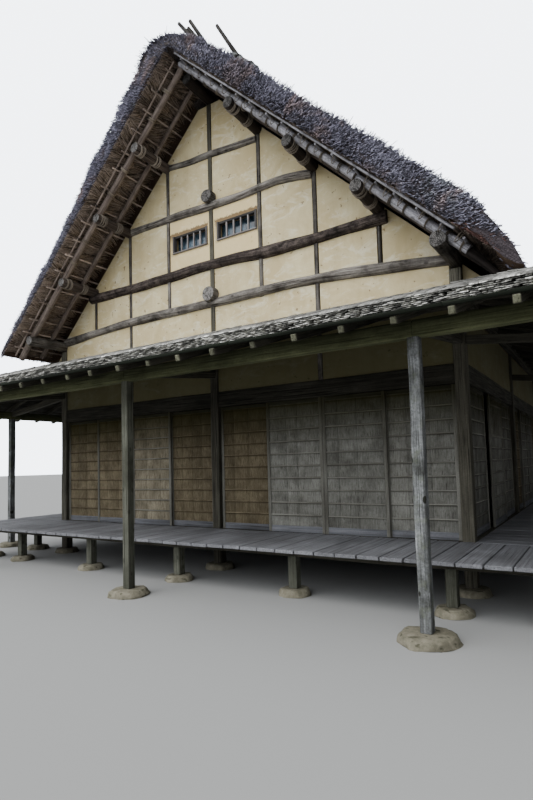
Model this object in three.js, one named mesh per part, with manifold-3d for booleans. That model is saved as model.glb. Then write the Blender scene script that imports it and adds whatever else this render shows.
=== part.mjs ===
// A thatched farmhouse: a timber frame with plastered gables under a steep
// straw roof, and a shingled pent roof on posts over a raised veranda.
// Millimetres, +Z up. The gable seen in front faces -Y, the ground is Z = 0
// and the origin is the middle of the plan.
import * as THREE from 'three';
import { mergeVertices } from 'three/addons/utils/BufferGeometryUtils.js';
import Module from 'manifold-3d';

const wasm = await Module();
wasm.setup();

// Driving dimensions
const HALF_KEN = 910;
const KEN = 2 * HALF_KEN;
const WALL_X = 2 * KEN;
const WALL_Y = 3 * KEN;
const GAP = 0.3;
const FLOOR_Z = 600;
const STONE_Z = 80;

// Posts, sills and lintels
const POST = 140;
const SHORT_POST = 115;
const SILL_Z = 480;
const SILL_LEDGE = 30;
const LINTEL_Z = 2440;
const LINTEL_TOP = 2670;
const LINTEL_DEPTH = 120;
const STUD = 75;

// Main roof: every roof line is z = height - PITCH * |x|
const PITCH = 0.97;
const SLOPE = Math.hypot(1, PITCH);
const PURLIN_LINE = 7430;
const PURLIN_R = 80;
const EAVE_R = 86;
const RAFTER_R = 45;
const RAFTER_LINE = PURLIN_LINE + (PURLIN_R + RAFTER_R) * SLOPE;
const RAFTER_REACH = 43.6;
const THATCH_IN = RAFTER_LINE + RAFTER_REACH * SLOPE;
const THATCH_OUT = 8130;
const THATCH_END = WALL_Y + 1000;
const RIDGE_R = 90;
const RIDGE_Z = RAFTER_LINE - (RIDGE_R + RAFTER_R) * SLOPE;
const RIDGE_HALF = 330;
const PURLIN_END = WALL_Y + 800;

// Plastered walls
const PLASTER_OUT = 40;
const PLASTER_IN = 90;
const PLASTER_LINE = 7520;
const PLASTER_TOP = 7310;

// Pent roof, measured outwards from the wall line
const PENT_POST = KEN;
const PENT_POST_SIDE = 105;
const PENT_STONE_R = 210;
const PENT_EAVE = 2450;
const PENT_TOP = 3630;
const PENT_PITCH = 0.33;
const PENT_THICK = 140;
const PENT_RAFTER = 75;
const PENT_RAFTER_DEEP = 85;
const PENT_BEAM = 110;
const PENT_BEAM_Z = 2630;

// Veranda
const DECK_OUT = 1365;
const DECK_THICK = 40;
const DECK_BEAM = 110;

// Sliding panels
const PANEL_THICK = 30;
const PANEL_TOP = 2435;
const PANEL_END = 930;
const PANEL_INNER_END = 2675;
const TRACK_FRONT = -35;
const TRACK_BACK = 5;
const RUNNING = 5;

// Materials
const wood = (colour, roughness = 0.85) =>
  new THREE.MeshStandardMaterial({ color: colour, roughness, metalness: 0 });
const FINISH = {
  thatch: wood(0x5b5248, 0.98),
  timber: wood(0x5a5047, 0.85),
  log: wood(0x4d433a, 0.88),
  bamboo: wood(0x9b9688, 0.6),
  board: wood(0x6b6459, 0.85),
  deck: wood(0x77736c, 0.8),
  shingle: wood(0x8c8c84, 0.9),
  panel: wood(0x7a7262, 0.85),
  plaster: wood(0xb59d6b, 0.95),
  glass: wood(0x3c5a72, 0.1),
};

const object = new THREE.Group();

// A closed three.js geometry as a solid that can be joined and cut
function solid(geometry) {
  const bare = geometry.clone();
  bare.deleteAttribute('normal');
  bare.deleteAttribute('uv');
  const merged = mergeVertices(bare, 1e-3);
  const positions = new Float32Array(merged.attributes.position.array);
  const triangles = new Uint32Array(merged.index.array);
  const shape = new wasm.Mesh({ numProp: 3, vertProperties: positions, triVerts: triangles });
  return new wasm.Manifold(shape);
}

// Adds one named mesh to the house
function place(name, shape, material) {
  const data = shape.getMesh();
  const geometry = new THREE.BufferGeometry();
  geometry.setAttribute('position', new THREE.BufferAttribute(data.vertProperties, 3));
  geometry.setIndex(new THREE.BufferAttribute(data.triVerts, 1));
  geometry.computeVertexNormals();
  const mesh = new THREE.Mesh(geometry, material);
  mesh.name = name;
  object.add(mesh);
}

const join = (shapes) => shapes.reduce((whole, shape) => whole.add(shape));

// A box from its low and high corners
function box(low, high) {
  const size = high.map((value, axis) => value - low[axis]);
  const middle = high.map((value, axis) => (value + low[axis]) / 2);
  return solid(new THREE.BoxGeometry(...size).translate(...middle));
}

// A square post standing on (x, y)
function post(x, y, low, high, side = POST, extra = 0) {
  const half = side / 2 + extra;
  return box([x - half, y - half, low - extra], [x + half, y + half, high + extra]);
}

// A straight round pole between two points, grown by extra all round
function pole(start, end, radius, sides = 8, extra = 0) {
  const from = new THREE.Vector3(...start);
  const to = new THREE.Vector3(...end);
  const along = to.clone().sub(from);
  const length = along.length() + 2 * extra;
  const geometry = new THREE.CylinderGeometry(radius + extra, radius + extra, length, sides);
  const up = new THREE.Vector3(0, 1, 0);
  geometry.applyQuaternion(new THREE.Quaternion().setFromUnitVectors(up, along.normalize()));
  const middle = from.add(to).multiplyScalar(0.5);
  return solid(geometry.translate(middle.x, middle.y, middle.z));
}

// A bent log that follows a smooth curve through its points
function bentLog(points, radius, steps = 6, sides = 6) {
  const path = new THREE.CatmullRomCurve3(points.map((point) => new THREE.Vector3(...point)));
  const section = new THREE.Shape();
  for (let side = 0; side < sides; side += 1) {
    const angle = (2 * Math.PI * side) / sides;
    const corner = [radius * Math.cos(angle), radius * Math.sin(angle)];
    if (side === 0) section.moveTo(...corner);
    else section.lineTo(...corner);
  }
  section.closePath();
  return solid(new THREE.ExtrudeGeometry(section, { steps, bevelEnabled: false, extrudePath: path }));
}

// An outline drawn in (x, z), pushed from y = low to y = high
function slabAlongY(outline, low, high) {
  const section = new THREE.Shape(outline.map(([x, z]) => new THREE.Vector2(x, z)));
  const geometry = new THREE.ExtrudeGeometry(section, { depth: high - low, bevelEnabled: false });
  return solid(geometry.rotateX(Math.PI / 2).translate(0, high, 0));
}

// An outline drawn in (distance towards the front, z), pushed from x = low to x = high
const slabAlongX = (outline, low, high) => slabAlongY(outline, low, high).rotate([0, 0, -90]);

// An outline drawn in plan, (x, y), pushed up from z = low to z = high
function slabUp(outline, low, high) {
  const section = new THREE.Shape(outline.map(([x, y]) => new THREE.Vector2(x, y)));
  const geometry = new THREE.ExtrudeGeometry(section, { depth: high - low, bevelEnabled: false });
  return solid(geometry.translate(0, 0, low));
}

// A low round foundation stone under a post
function stone(x, y, radius = 230) {
  const profile = [
    new THREE.Vector2(0, 0),
    new THREE.Vector2(radius, 0),
    new THREE.Vector2(radius * 0.82, STONE_Z),
    new THREE.Vector2(0, STONE_Z),
  ];
  const geometry = new THREE.LatheGeometry(profile, 8).rotateX(Math.PI / 2);
  return solid(geometry.translate(x, y, 0));
}

// Turns a shape made for the front (-Y) half a turn to the back
const toBack = (shape) => shape.rotate([0, 0, 180]);
const roofZ = (line, x) => line - PITCH * Math.abs(x);

// Every purlin place on one side, from the ridge down
const PURLIN_X = [HALF_KEN, 2 * HALF_KEN, 3 * HALF_KEN];

function purlin(x, extra = 0, radius = PURLIN_R) {
  const z = roofZ(PURLIN_LINE, x);
  return pole([x, -PURLIN_END, z], [x, PURLIN_END, z], radius, 10, extra);
}

function ridgePurlin(extra = 0) {
  return pole([0, -PURLIN_END, RIDGE_Z], [0, PURLIN_END, RIDGE_Z], RIDGE_R, 10, extra);
}

const purlinHoles = join([
  ridgePurlin(GAP),
  ...PURLIN_X.flatMap((x) => [purlin(x, GAP), purlin(-x, GAP)]),
  purlin(WALL_X, GAP, EAVE_R),
  purlin(-WALL_X, GAP, EAVE_R),
]);

// Cross ties that run from gable to gable over the middle of the house and
// pass the middle posts as square tenons
const TIES = { tie_log_lower: 4200, tie_log_upper: 5760 };
const TIE_R = 80;
const TIE_END = WALL_Y + 170;
const TENON = [30, 100];

function tieLog(z, extra = 0) {
  const inner = WALL_Y - POST / 2 - GAP + extra;
  const outer = WALL_Y + POST / 2 + GAP - extra;
  const [wide, high] = TENON.map((value) => value / 2 + extra);
  return join([
    pole([0, -inner, z], [0, inner, z], TIE_R + extra, 10),
    box([-wide, -TIE_END + 1, z - high], [wide, TIE_END - 1, z + high]),
    pole([0, -TIE_END, z], [0, -outer, z], TIE_R + extra, 10),
    pole([0, outer, z], [0, TIE_END, z], TIE_R + extra, 10),
  ]);
}

const tieHoles = join(Object.values(TIES).map((z) => tieLog(z, GAP)));

// Thatch: two slopes and the ridge that closes them
function thatchSlope(side) {
  const inner = (x) => [side * x, roofZ(THATCH_IN, x)];
  const outer = (x) => [side * x, roofZ(THATCH_OUT, x)];
  const eaveIn = 4170;
  const outline = [
    inner(RIDGE_HALF + GAP),
    inner(eaveIn),
    [side * 4330, 3470],
    [side * 4530, 3370],
    [side * 4480, 3560],
    [side * 4360, 3740],
    [side * 4210, 3950],
    outer(3990),
    outer(RIDGE_HALF + GAP),
  ];
  return slabAlongY(side > 0 ? outline : outline.reverse(), -THATCH_END, THATCH_END);
}

function thatchRidge() {
  const outline = [
    [-RIDGE_HALF, roofZ(THATCH_IN, RIDGE_HALF)],
    [0, THATCH_IN],
    [RIDGE_HALF, roofZ(THATCH_IN, RIDGE_HALF)],
    [RIDGE_HALF, roofZ(THATCH_OUT, RIDGE_HALF)],
    [RIDGE_HALF * 0.62, THATCH_OUT - 205],
    [RIDGE_HALF * 0.25, THATCH_OUT - 130],
    [-RIDGE_HALF * 0.25, THATCH_OUT - 130],
    [-RIDGE_HALF * 0.62, THATCH_OUT - 205],
    [-RIDGE_HALF, roofZ(THATCH_OUT, RIDGE_HALF)],
  ];
  return slabAlongY(outline, -THATCH_END, THATCH_END);
}

// Thin poles left standing near the ridge, tied to a pole half buried in the
// right slope, and a short log that lies on it; each is given by its low and
// high end, (x, z)
const STICKS = [
  [[330, 7740], [58, 8124]],
  [[430, 7655], [240, 7960]],
  [[560, 7545], [274, 8055]],
  [[1230, 6895], [762, 7742]],
];
const STICK_R = 24;

function ridgePoles(extra = 0) {
  const y = -(WALL_Y + 790);
  const sticks = STICKS.map(([low, high]) =>
    pole([low[0], y, low[1]], [high[0], y, high[1]], STICK_R, 6, extra));
  const onSlope = (x, line) => [x, y, roofZ(line, x)];
  const buried = THATCH_OUT - 75;
  const lying = THATCH_OUT + 10;
  return join([
    ...sticks,
    pole(onSlope(270, buried), onSlope(1350, buried), 32, 6, extra),
    pole(onSlope(1030, lying), onSlope(1400, lying), 62, 8, extra),
  ]);
}

// Rafters of one side, resting on the eave log that they are lashed to
const RAFTER_Y = [WALL_Y + 680, WALL_Y + 290, 5 * HALF_KEN, 4 * HALF_KEN, 3 * HALF_KEN,
  2 * HALF_KEN, HALF_KEN];

function roofRafters(side) {
  const low = 4120;
  const high = 35;
  const rafter = (y) => pole(
    [side * low, y, roofZ(RAFTER_LINE, low)],
    [side * high, y, roofZ(RAFTER_LINE, high)],
    RAFTER_R,
    6,
  );
  const rows = [0, ...RAFTER_Y, ...RAFTER_Y.map((y) => -y)];
  return join([purlin(side * WALL_X, 0, EAVE_R), ...rows.map(rafter)]);
}

// Gable wall: bent logs and thin studs, fused where they cross
const GABLE_LOGS = [
  { radius: 72, points: [[-3600, 3970], [-1950, 4070], [0, 4080], [1800, 4070], [3600, 3925]] },
  { radius: 80, points: [[-2850, 4680], [-1400, 4665], [0, 4690], [1400, 4640], [2850, 4660]] },
  { radius: 66, points: [[-1800, 5670], [-900, 5665], [0, 5640], [550, 5630], [1300, 5650], [1800, 5575]] },
  { radius: 52, points: [[-890, 6545], [-450, 6500], [0, 6480], [890, 6415]] },
];
const LOG_PROUD = 40;

function gableFrame(extra = 0) {
  const y = -(WALL_Y + LOG_PROUD);
  const logs = GABLE_LOGS.map(({ radius, points }) =>
    bentLog(points.map(([x, z]) => [x + Math.sign(x) * extra, y, z]), radius + extra));
  const studs = PURLIN_X.flatMap((x) => [-x, x]).map((x) => {
    const foot = Math.abs(x) === KEN ? LINTEL_TOP + GAP : 4000;
    const head = roofZ(PURLIN_LINE, x) - PURLIN_R + 30;
    const half = STUD / 2 + extra;
    return box([x - half, y - 15 - extra, foot - extra], [x + half, y + 60 + extra, head + extra]);
  });
  return join([...logs, ...studs]);
}

const WINDOWS = [[-810, -80], [110, 860]];
const WINDOW_Z = [5040, 5340];

function gablePlaster() {
  const foot = LINTEL_TOP + GAP;
  const half = WALL_X - POST / 2 - GAP;
  const topHalf = (PLASTER_LINE - PLASTER_TOP) / PITCH;
  const outline = [
    [-half, foot],
    [half, foot],
    [half, roofZ(PLASTER_LINE, half)],
    [topHalf, PLASTER_TOP],
    [-topHalf, PLASTER_TOP],
    [-half, roofZ(PLASTER_LINE, half)],
  ];
  const slab = slabAlongY(outline, -WALL_Y - PLASTER_OUT, -WALL_Y + PLASTER_IN);
  const holes = WINDOWS.map(([low, high]) => box(
    [low, -WALL_Y - 200, WINDOW_Z[0]],
    [high, -WALL_Y + 200, WINDOW_Z[1]],
  ));
  return slab.subtract(join(holes));
}

// The centre post is full size up to the pent roof and a stud's width above it
const CENTRE_SHOULDER = 3100;

function centrePost(extra = 0) {
  const top = RIDGE_Z - RIDGE_R - GAP;
  const half = STUD / 2 + extra;
  const stud = box(
    [-half, -WALL_Y - 55 - extra, CENTRE_SHOULDER - 10],
    [half, -WALL_Y + POST / 2 + extra, top + extra],
  );
  return post(0, -WALL_Y, STONE_Z, CENTRE_SHOULDER, POST, extra).add(stud);
}

// The gable's pieces are cut to each other from one set of shapes
const frameRoom = gableFrame(GAP);
const gableShapes = {
  gable_frame: gableFrame().subtract(purlinHoles).subtract(tieHoles),
  centre_post: centrePost().subtract(frameRoom).subtract(tieHoles).add(stone(0, -WALL_Y)),
  gable_plaster: gablePlaster().subtract(purlinHoles).subtract(centrePost(GAP))
    .subtract(frameRoom).subtract(tieHoles),
};

function gableGlass() {
  const y = -WALL_Y + PLASTER_IN + GAP;
  return box([-860, y, WINDOW_Z[0] - 50], [910, y + 6, WINDOW_Z[1] + 50]);
}

// Beams over and under the doors
function lintel() {
  const half = WALL_X - POST / 2 - GAP;
  const deep = LINTEL_DEPTH / 2;
  const behind = 100;
  return box([-half, -WALL_Y - deep, LINTEL_Z], [half, -WALL_Y + behind, LINTEL_TOP])
    .subtract(post(0, -WALL_Y, 0, 4000, POST, GAP));
}

// A sill is as wide as the posts that cut it, and runs on behind them as a ledge
function sillBeam(low, high) {
  const half = POST / 2;
  const short = SILL_LEDGE + GAP;
  return join([
    box([low, -half, SILL_Z], [high, half, FLOOR_Z]),
    box([low + short, 0, SILL_Z], [high - short, half + SILL_LEDGE, FLOOR_Z]),
  ]);
}

function sill() {
  const half = WALL_X - POST / 2 - GAP;
  return sillBeam(-half, half).translate([0, -WALL_Y, 0])
    .subtract(post(0, -WALL_Y, 0, 4000, POST, GAP));
}

// One sliding panel: stiles and rails around a thinner board, from x = low to high
const STILE = 45;
const BOARD_IN = 8;

function slidingPanel(low, high, y, foot = FLOOR_Z + GAP) {
  const half = PANEL_THICK / 2;
  const field = (from, to) => box(
    [low + STILE, from, foot + 2 * STILE],
    [high - STILE, to, PANEL_TOP - STILE],
  );
  return box([low, y - half, foot], [high, y + half, PANEL_TOP])
    .subtract(field(y - half - 1, y - half + BOARD_IN))
    .subtract(field(y + half - BOARD_IN, y + half + 1));
}

// Four panels close one bay between two posts: the outer two run behind
const BAY_START = POST / 2;
const BAY_PANELS = [
  { low: BAY_START + RUNNING, high: 965, track: TRACK_BACK, travel: 850 },
  { low: PANEL_END, high: KEN - RUNNING / 2, track: TRACK_FRONT, travel: -850 },
  { low: KEN + RUNNING / 2, high: 2 * KEN - PANEL_END, track: TRACK_FRONT, travel: 850 },
  { low: PANEL_INNER_END, high: 2 * KEN - BAY_START - RUNNING, track: TRACK_BACK, travel: -850 },
];

// Side walls, drawn for the +X side with the wall's own length along Y
const SIDE_POSTS = [-WALL_Y, -KEN, KEN, WALL_Y];

function sideFrame(side) {
  const x = side * WALL_X;
  const top = roofZ(PURLIN_LINE, WALL_X) - EAVE_R - GAP;
  const deep = LINTEL_DEPTH / 2;
  const posts = SIDE_POSTS.flatMap((y) => [post(x, y, STONE_Z - 1, top), stone(x, y)]);
  const beam = box([x - deep, -WALL_Y, LINTEL_Z], [x + deep, WALL_Y, LINTEL_TOP]);
  return join([beam, ...posts]);
}

function sidePostsRoom(side) {
  return join(SIDE_POSTS.map((y) => post(side * WALL_X, y, 0, 5000, POST, GAP)));
}

function sidePlaster(side) {
  const inner = side * (WALL_X - PLASTER_IN);
  const outer = side * (WALL_X + PLASTER_OUT);
  const low = [Math.min(inner, outer), -WALL_Y + PLASTER_IN + GAP, LINTEL_TOP + GAP];
  const top = roofZ(PURLIN_LINE, WALL_X) - EAVE_R - GAP;
  const high = [Math.max(inner, outer), WALL_Y - PLASTER_IN - GAP, top];
  return box(low, high).subtract(sidePostsRoom(side));
}

// Fixed panels stand on their sill, which joins them
function panelRow(bays) {
  return bays.flatMap((start) => BAY_PANELS.map(({ low, high, track }, index) => {
    const from = index === 2 ? KEN - 20 : low;
    const middle = track === TRACK_FRONT ? TRACK_FRONT : TRACK_BACK - 11;
    return slidingPanel(start + from, start + high, middle, FLOOR_Z - 5);
  }));
}

function panelWall(bays, extra = []) {
  const ends = [Math.min(...bays, ...extra), Math.max(...bays, ...extra) + 2 * KEN];
  const base = sillBeam(ends[0] + POST / 2 + GAP, ends[1] - POST / 2 - GAP);
  return join([base, ...panelRow(bays)]);
}

// The right wall's first bay from the front has three panels, the middle one
// a barred door that stands a little open
const SIDE_DOOR = { low: 1370, high: 2440 };
const SIDE_BAY_FIXED = [[BAY_START + GAP, 1240], [2400, 2 * KEN - BAY_START - GAP]];

// Sets a wall drawn along X into the side wall, facing outwards
const toSide = (shape, side) => shape.rotate([0, 0, side * 90]).translate([side * WALL_X, 0, 0]);

function sidePanels(side) {
  const bays = [-3, -1, 1].map((step) => step * KEN);
  if (side < 0) return toSide(panelWall(bays), side).subtract(sidePostsRoom(side));
  const fixed = SIDE_BAY_FIXED.map(([low, high]) =>
    slidingPanel(bays[0] + low, bays[0] + high, TRACK_BACK, FLOOR_Z - 5));
  const wall = panelWall(bays.slice(1), [bays[0]]).add(join(fixed));
  return toSide(wall, side).subtract(sidePostsRoom(side));
}

function sideDoor() {
  const start = -WALL_Y;
  return toSide(slidingPanel(start + SIDE_DOOR.low, start + SIDE_DOOR.high, TRACK_FRONT), 1);
}

// Raised floor on cross beams and short posts
function floorDeck() {
  const x = WALL_X - POST / 2 - SILL_LEDGE - GAP;
  const y = WALL_Y - POST / 2 - SILL_LEDGE - GAP;
  const under = FLOOR_Z - 60;
  const plate = box([-x, -y, under], [x, y, FLOOR_Z]);
  const rows = [-2, 0, 2].map((step) => step * HALF_KEN * 2);
  const supports = rows.flatMap((at) => [
    box([-x, at - 60, under - 120], [x, at + 60, under + 1]),
    ...[-KEN, 0, KEN].flatMap((across) => [
      post(across, at, STONE_Z - 1, under - 60, SHORT_POST),
      stone(across, at, 200),
    ]),
  ]);
  return join([plate, ...supports]);
}

// Veranda: a plank deck on a beam and short posts, drawn for the front
function veranda(halfLength, near, postAt) {
  const far = -(near + DECK_OUT - POST / 2 - GAP);
  const beamY = -(near + HALF_KEN - POST / 2 - GAP);
  const under = FLOOR_Z - DECK_THICK;
  const deck = box([-halfLength, far, under], [halfLength, -near, FLOOR_Z]);
  const beamHalf = Math.min(halfLength, Math.max(...postAt) + 100);
  const beam = box([-beamHalf, beamY - 45, under - DECK_BEAM], [beamHalf, beamY + 45, under + 1]);
  const posts = postAt.flatMap((x) => [
    post(x, beamY, STONE_Z - 1, under - 20, SHORT_POST),
    stone(x, beamY, 200),
  ]);
  return join([deck, beam, ...posts]);
}

const FRONT_SHORT_POSTS = [-5, -4, -2, 0, 2, 4, 5].map((step) => step * HALF_KEN);
const SIDE_SHORT_POSTS = [-6, -4, -2, 0, 2, 4, 6].map((step) => step * HALF_KEN);

// Pent roof of one side: a shingled slab on rafters, mitred at the hips, drawn for
// the front of a wall that is 2 * half long and lies at y = -wall
const pentZ = (out) => PENT_TOP - PENT_PITCH * out;

// The plan of one roof side, inside its two hip lines
function roofPlan(half, wall) {
  const near = PLASTER_OUT + GAP;
  const nearY = -(wall + near);
  const farY = -(wall + PENT_EAVE) - 1;
  const nearX = half + near - GAP;
  const farX = half + PENT_EAVE + 1 - GAP;
  return slabUp([[-nearX, nearY], [-farX, farY], [farX, farY], [nearX, nearY]], 0, 5000);
}

// A slanted bar under the slab, from one distance out to another
function rafterBar(wall, from, to, low, high, top = 2) {
  const under = (out) => pentZ(out) - PENT_THICK;
  return slabAlongX([
    [wall + from, under(from) + top],
    [wall + from, under(from) - PENT_RAFTER_DEEP],
    [wall + to, under(to) - PENT_RAFTER_DEEP],
    [wall + to, under(to) + top],
  ], low, high);
}

function pentRoof(half, wall, wallPieces) {
  const near = PLASTER_OUT + GAP;
  const reach = half + PENT_EAVE + 1;
  const plan = roofPlan(half, wall);
  const slab = slabAlongX([
    [wall + near, pentZ(near)],
    [wall + near, pentZ(near) - PENT_THICK],
    [wall + PENT_EAVE, pentZ(PENT_EAVE) - PENT_THICK],
    [wall + PENT_EAVE, pentZ(PENT_EAVE)],
  ], -reach, reach).intersect(plan);
  const rafterEnd = PENT_EAVE - 55;
  const ledgerOut = POST / 2 + 100;
  const spacing = HALF_KEN / 2;
  const count = Math.floor((half + rafterEnd) / spacing);
  const rafters = [];
  for (let step = -count; step <= count; step += 1) {
    const x = step * spacing;
    const from = Math.max(ledgerOut - 20, Math.abs(x) - half + 170);
    if (from < rafterEnd - 200) {
      rafters.push(rafterBar(wall, from, rafterEnd, x - PENT_RAFTER / 2, x + PENT_RAFTER / 2));
    }
  }
  const ledgerTop = pentZ(ledgerOut) - PENT_THICK;
  const ledger = box(
    [-half, -(wall + ledgerOut), ledgerTop - 120],
    [half, -(wall + POST / 2 + GAP), ledgerTop + 20],
  ).intersect(plan);
  return join([slab, ledger, ...rafters]).subtract(join(wallPieces));
}

// Outer posts, their beam, the ties back to the wall posts and, on the front and
// back, the hip rafters over the corner posts
const BEAM_TOP = pentZ(PENT_POST + PENT_BEAM / 2) - PENT_THICK - PENT_RAFTER_DEEP - GAP;
const HIP_WIDE = 100;

function hipRafter(half, wall, side) {
  const drop = 13;
  const from = POST + 60;
  const to = PENT_EAVE - 60;
  const under = (out) => pentZ(out) - PENT_THICK - drop;
  const root2 = Math.SQRT2;
  const bar = slabAlongX([
    [from * root2, under(from)],
    [from * root2, under(from) - PENT_RAFTER_DEEP],
    [to * root2, under(to) - PENT_RAFTER_DEEP],
    [to * root2, under(to)],
  ], -HIP_WIDE / 2, HIP_WIDE / 2);
  return bar.rotate([0, 0, side * 45]).translate([side * half, -wall, 0]);
}

function tieBeam(x, wall, wide = 80) {
  const deep = 100;
  const near = POST / 2 + GAP;
  return slabAlongX([
    [wall + near, 2990],
    [wall + near, 2990 - deep],
    [wall + PENT_POST, BEAM_TOP - 5 - deep],
    [wall + PENT_POST, BEAM_TOP - 5],
  ], x - wide / 2, x + wide / 2);
}

function pentFrame(wall, postAt, tieAt, beamHalf) {
  const y = -(wall + PENT_POST);
  const posts = postAt.flatMap((x) => [
    post(x, y, STONE_Z - 1, PENT_BEAM_Z + 20, PENT_POST_SIDE),
    stone(x, y, PENT_STONE_R),
  ]);
  const beam = box(
    [-beamHalf, y - PENT_BEAM / 2, PENT_BEAM_Z],
    [beamHalf, y + PENT_BEAM / 2, BEAM_TOP],
  );
  return join([beam, ...posts, ...tieAt.map((x) => tieBeam(x, wall))]);
}

// Thatch is cut clear of the poles that are stuck in it
const frontPoles = ridgePoles();
const poleRoom = ridgePoles(GAP);
const poleRooms = poleRoom.add(toBack(poleRoom));

place('thatch_left', thatchSlope(-1).subtract(poleRooms), FINISH.thatch);
place('thatch_right', thatchSlope(1).subtract(poleRooms), FINISH.thatch);
place('thatch_ridge', thatchRidge().subtract(poleRooms), FINISH.thatch);
place('ridge_poles_front', frontPoles, FINISH.log);
place('ridge_poles_back', toBack(frontPoles), FINISH.log);

place('ridge_purlin', ridgePurlin(), FINISH.log);
PURLIN_X.forEach((x, index) => {
  place(`purlin_left_${index + 1}`, purlin(-x), FINISH.log);
  place(`purlin_right_${index + 1}`, purlin(x), FINISH.log);
});
place('rafters_left', roofRafters(-1), FINISH.bamboo);
place('rafters_right', roofRafters(1), FINISH.bamboo);
for (const [name, z] of Object.entries(TIES)) place(name, tieLog(z), FINISH.log);

const GABLE_FINISH = {
  gable_frame: FINISH.log,
  centre_post: FINISH.timber,
  gable_plaster: FINISH.plaster,
};
for (const [end, turn] of [['front', (shape) => shape], ['back', toBack]]) {
  for (const [name, shape] of Object.entries(gableShapes)) {
    place(`${end}_${name}`, turn(shape), GABLE_FINISH[name]);
  }
  place(`${end}_gable_glass`, turn(gableGlass()), FINISH.glass);
  place(`${end}_lintel`, turn(lintel()), FINISH.timber);
}

place('front_sill', sill(), FINISH.timber);
const MIRROR = [['left', (low, high) => [-high, -low]], ['right', (low, high) => [low, high]]];
for (const [side, spread] of MIRROR) {
  BAY_PANELS.forEach(({ low, high, track }, index) => {
    const [from, to] = spread(low, high);
    place(`front_door_${side}_${index + 1}`, slidingPanel(from, to, -WALL_Y + track), FINISH.panel);
  });
}
const backPanels = panelWall([-2 * KEN, 0])
  .subtract(post(0, 0, 0, 5000, POST, GAP))
  .translate([0, -WALL_Y, 0]);
place('back_panels', toBack(backPanels), FINISH.panel);

for (const [name, side] of [['left', -1], ['right', 1]]) {
  place(`${name}_wall_frame`, sideFrame(side), FINISH.timber);
  place(`${name}_wall_plaster`, sidePlaster(side), FINISH.plaster);
  place(`${name}_panels`, sidePanels(side), FINISH.panel);
}
place('right_door', sideDoor(), FINISH.panel);
place('floor', floorDeck(), FINISH.deck);

const frontDeck = veranda(WALL_X + DECK_OUT, WALL_Y + POST / 2 + GAP, FRONT_SHORT_POSTS);
const sideDeck = veranda(WALL_Y + POST / 2, WALL_X + POST / 2 + GAP, SIDE_SHORT_POSTS);
place('veranda_front', frontDeck, FINISH.deck);
place('veranda_back', toBack(frontDeck), FINISH.deck);
place('veranda_right', sideDeck.rotate([0, 0, 90]), FINISH.deck);
place('veranda_left', sideDeck.rotate([0, 0, -90]), FINISH.deck);

const postRoom = (x, wall, side = POST) => post(x, -wall, 0, 5000, side, GAP);
const frontRoof = pentRoof(WALL_X, WALL_Y, [
  ...[-WALL_X, 0, WALL_X].map((x) => postRoom(x, WALL_Y)),
  ...[-KEN, KEN].map((x) => postRoom(x, WALL_Y + LOG_PROUD, STUD)),
]);
const sideRoof = pentRoof(WALL_Y, WALL_X, SIDE_POSTS.map((y) => postRoom(y, WALL_X)));
place('pent_roof_front', frontRoof, FINISH.shingle);
place('pent_roof_back', toBack(frontRoof), FINISH.shingle);
place('pent_roof_right', sideRoof.rotate([0, 0, 90]), FINISH.shingle);
place('pent_roof_left', sideRoof.rotate([0, 0, -90]), FINISH.shingle);

const CORNER = WALL_X + PENT_POST;
const frontFrame = join([
  pentFrame(WALL_Y, [-CORNER, -WALL_X, 0, WALL_X, CORNER], [-WALL_X, 0, WALL_X], CORNER + 90),
  hipRafter(WALL_X, WALL_Y, 1),
  hipRafter(WALL_X, WALL_Y, -1),
]);
const sideBeamHalf = WALL_Y + PENT_POST - PENT_BEAM / 2 - 10 - GAP;
const sideOuter = pentFrame(WALL_X, SIDE_POSTS, SIDE_POSTS, sideBeamHalf);
place('pent_frame_front', frontFrame, FINISH.timber);
place('pent_frame_back', toBack(frontFrame), FINISH.timber);
place('pent_frame_right', sideOuter.rotate([0, 0, 90]), FINISH.timber);
place('pent_frame_left', sideOuter.rotate([0, 0, -90]), FINISH.timber);

export default object;
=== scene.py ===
# %% [markdown]
# # A thatched farmhouse, dressed for its portrait
# The house is a timber frame with plastered gables under a steep straw roof, and a
# low shingled roof on posts that runs round it over a raised veranda. Its solids are
# already exact, so this file only gives them their looks: every log, plank, reed and
# shingle is modelled on top of them, in metres, +Z up, with the front gable facing -Y.

import math

import bpy
import numpy as np
from mathutils import Matrix, Vector


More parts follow.
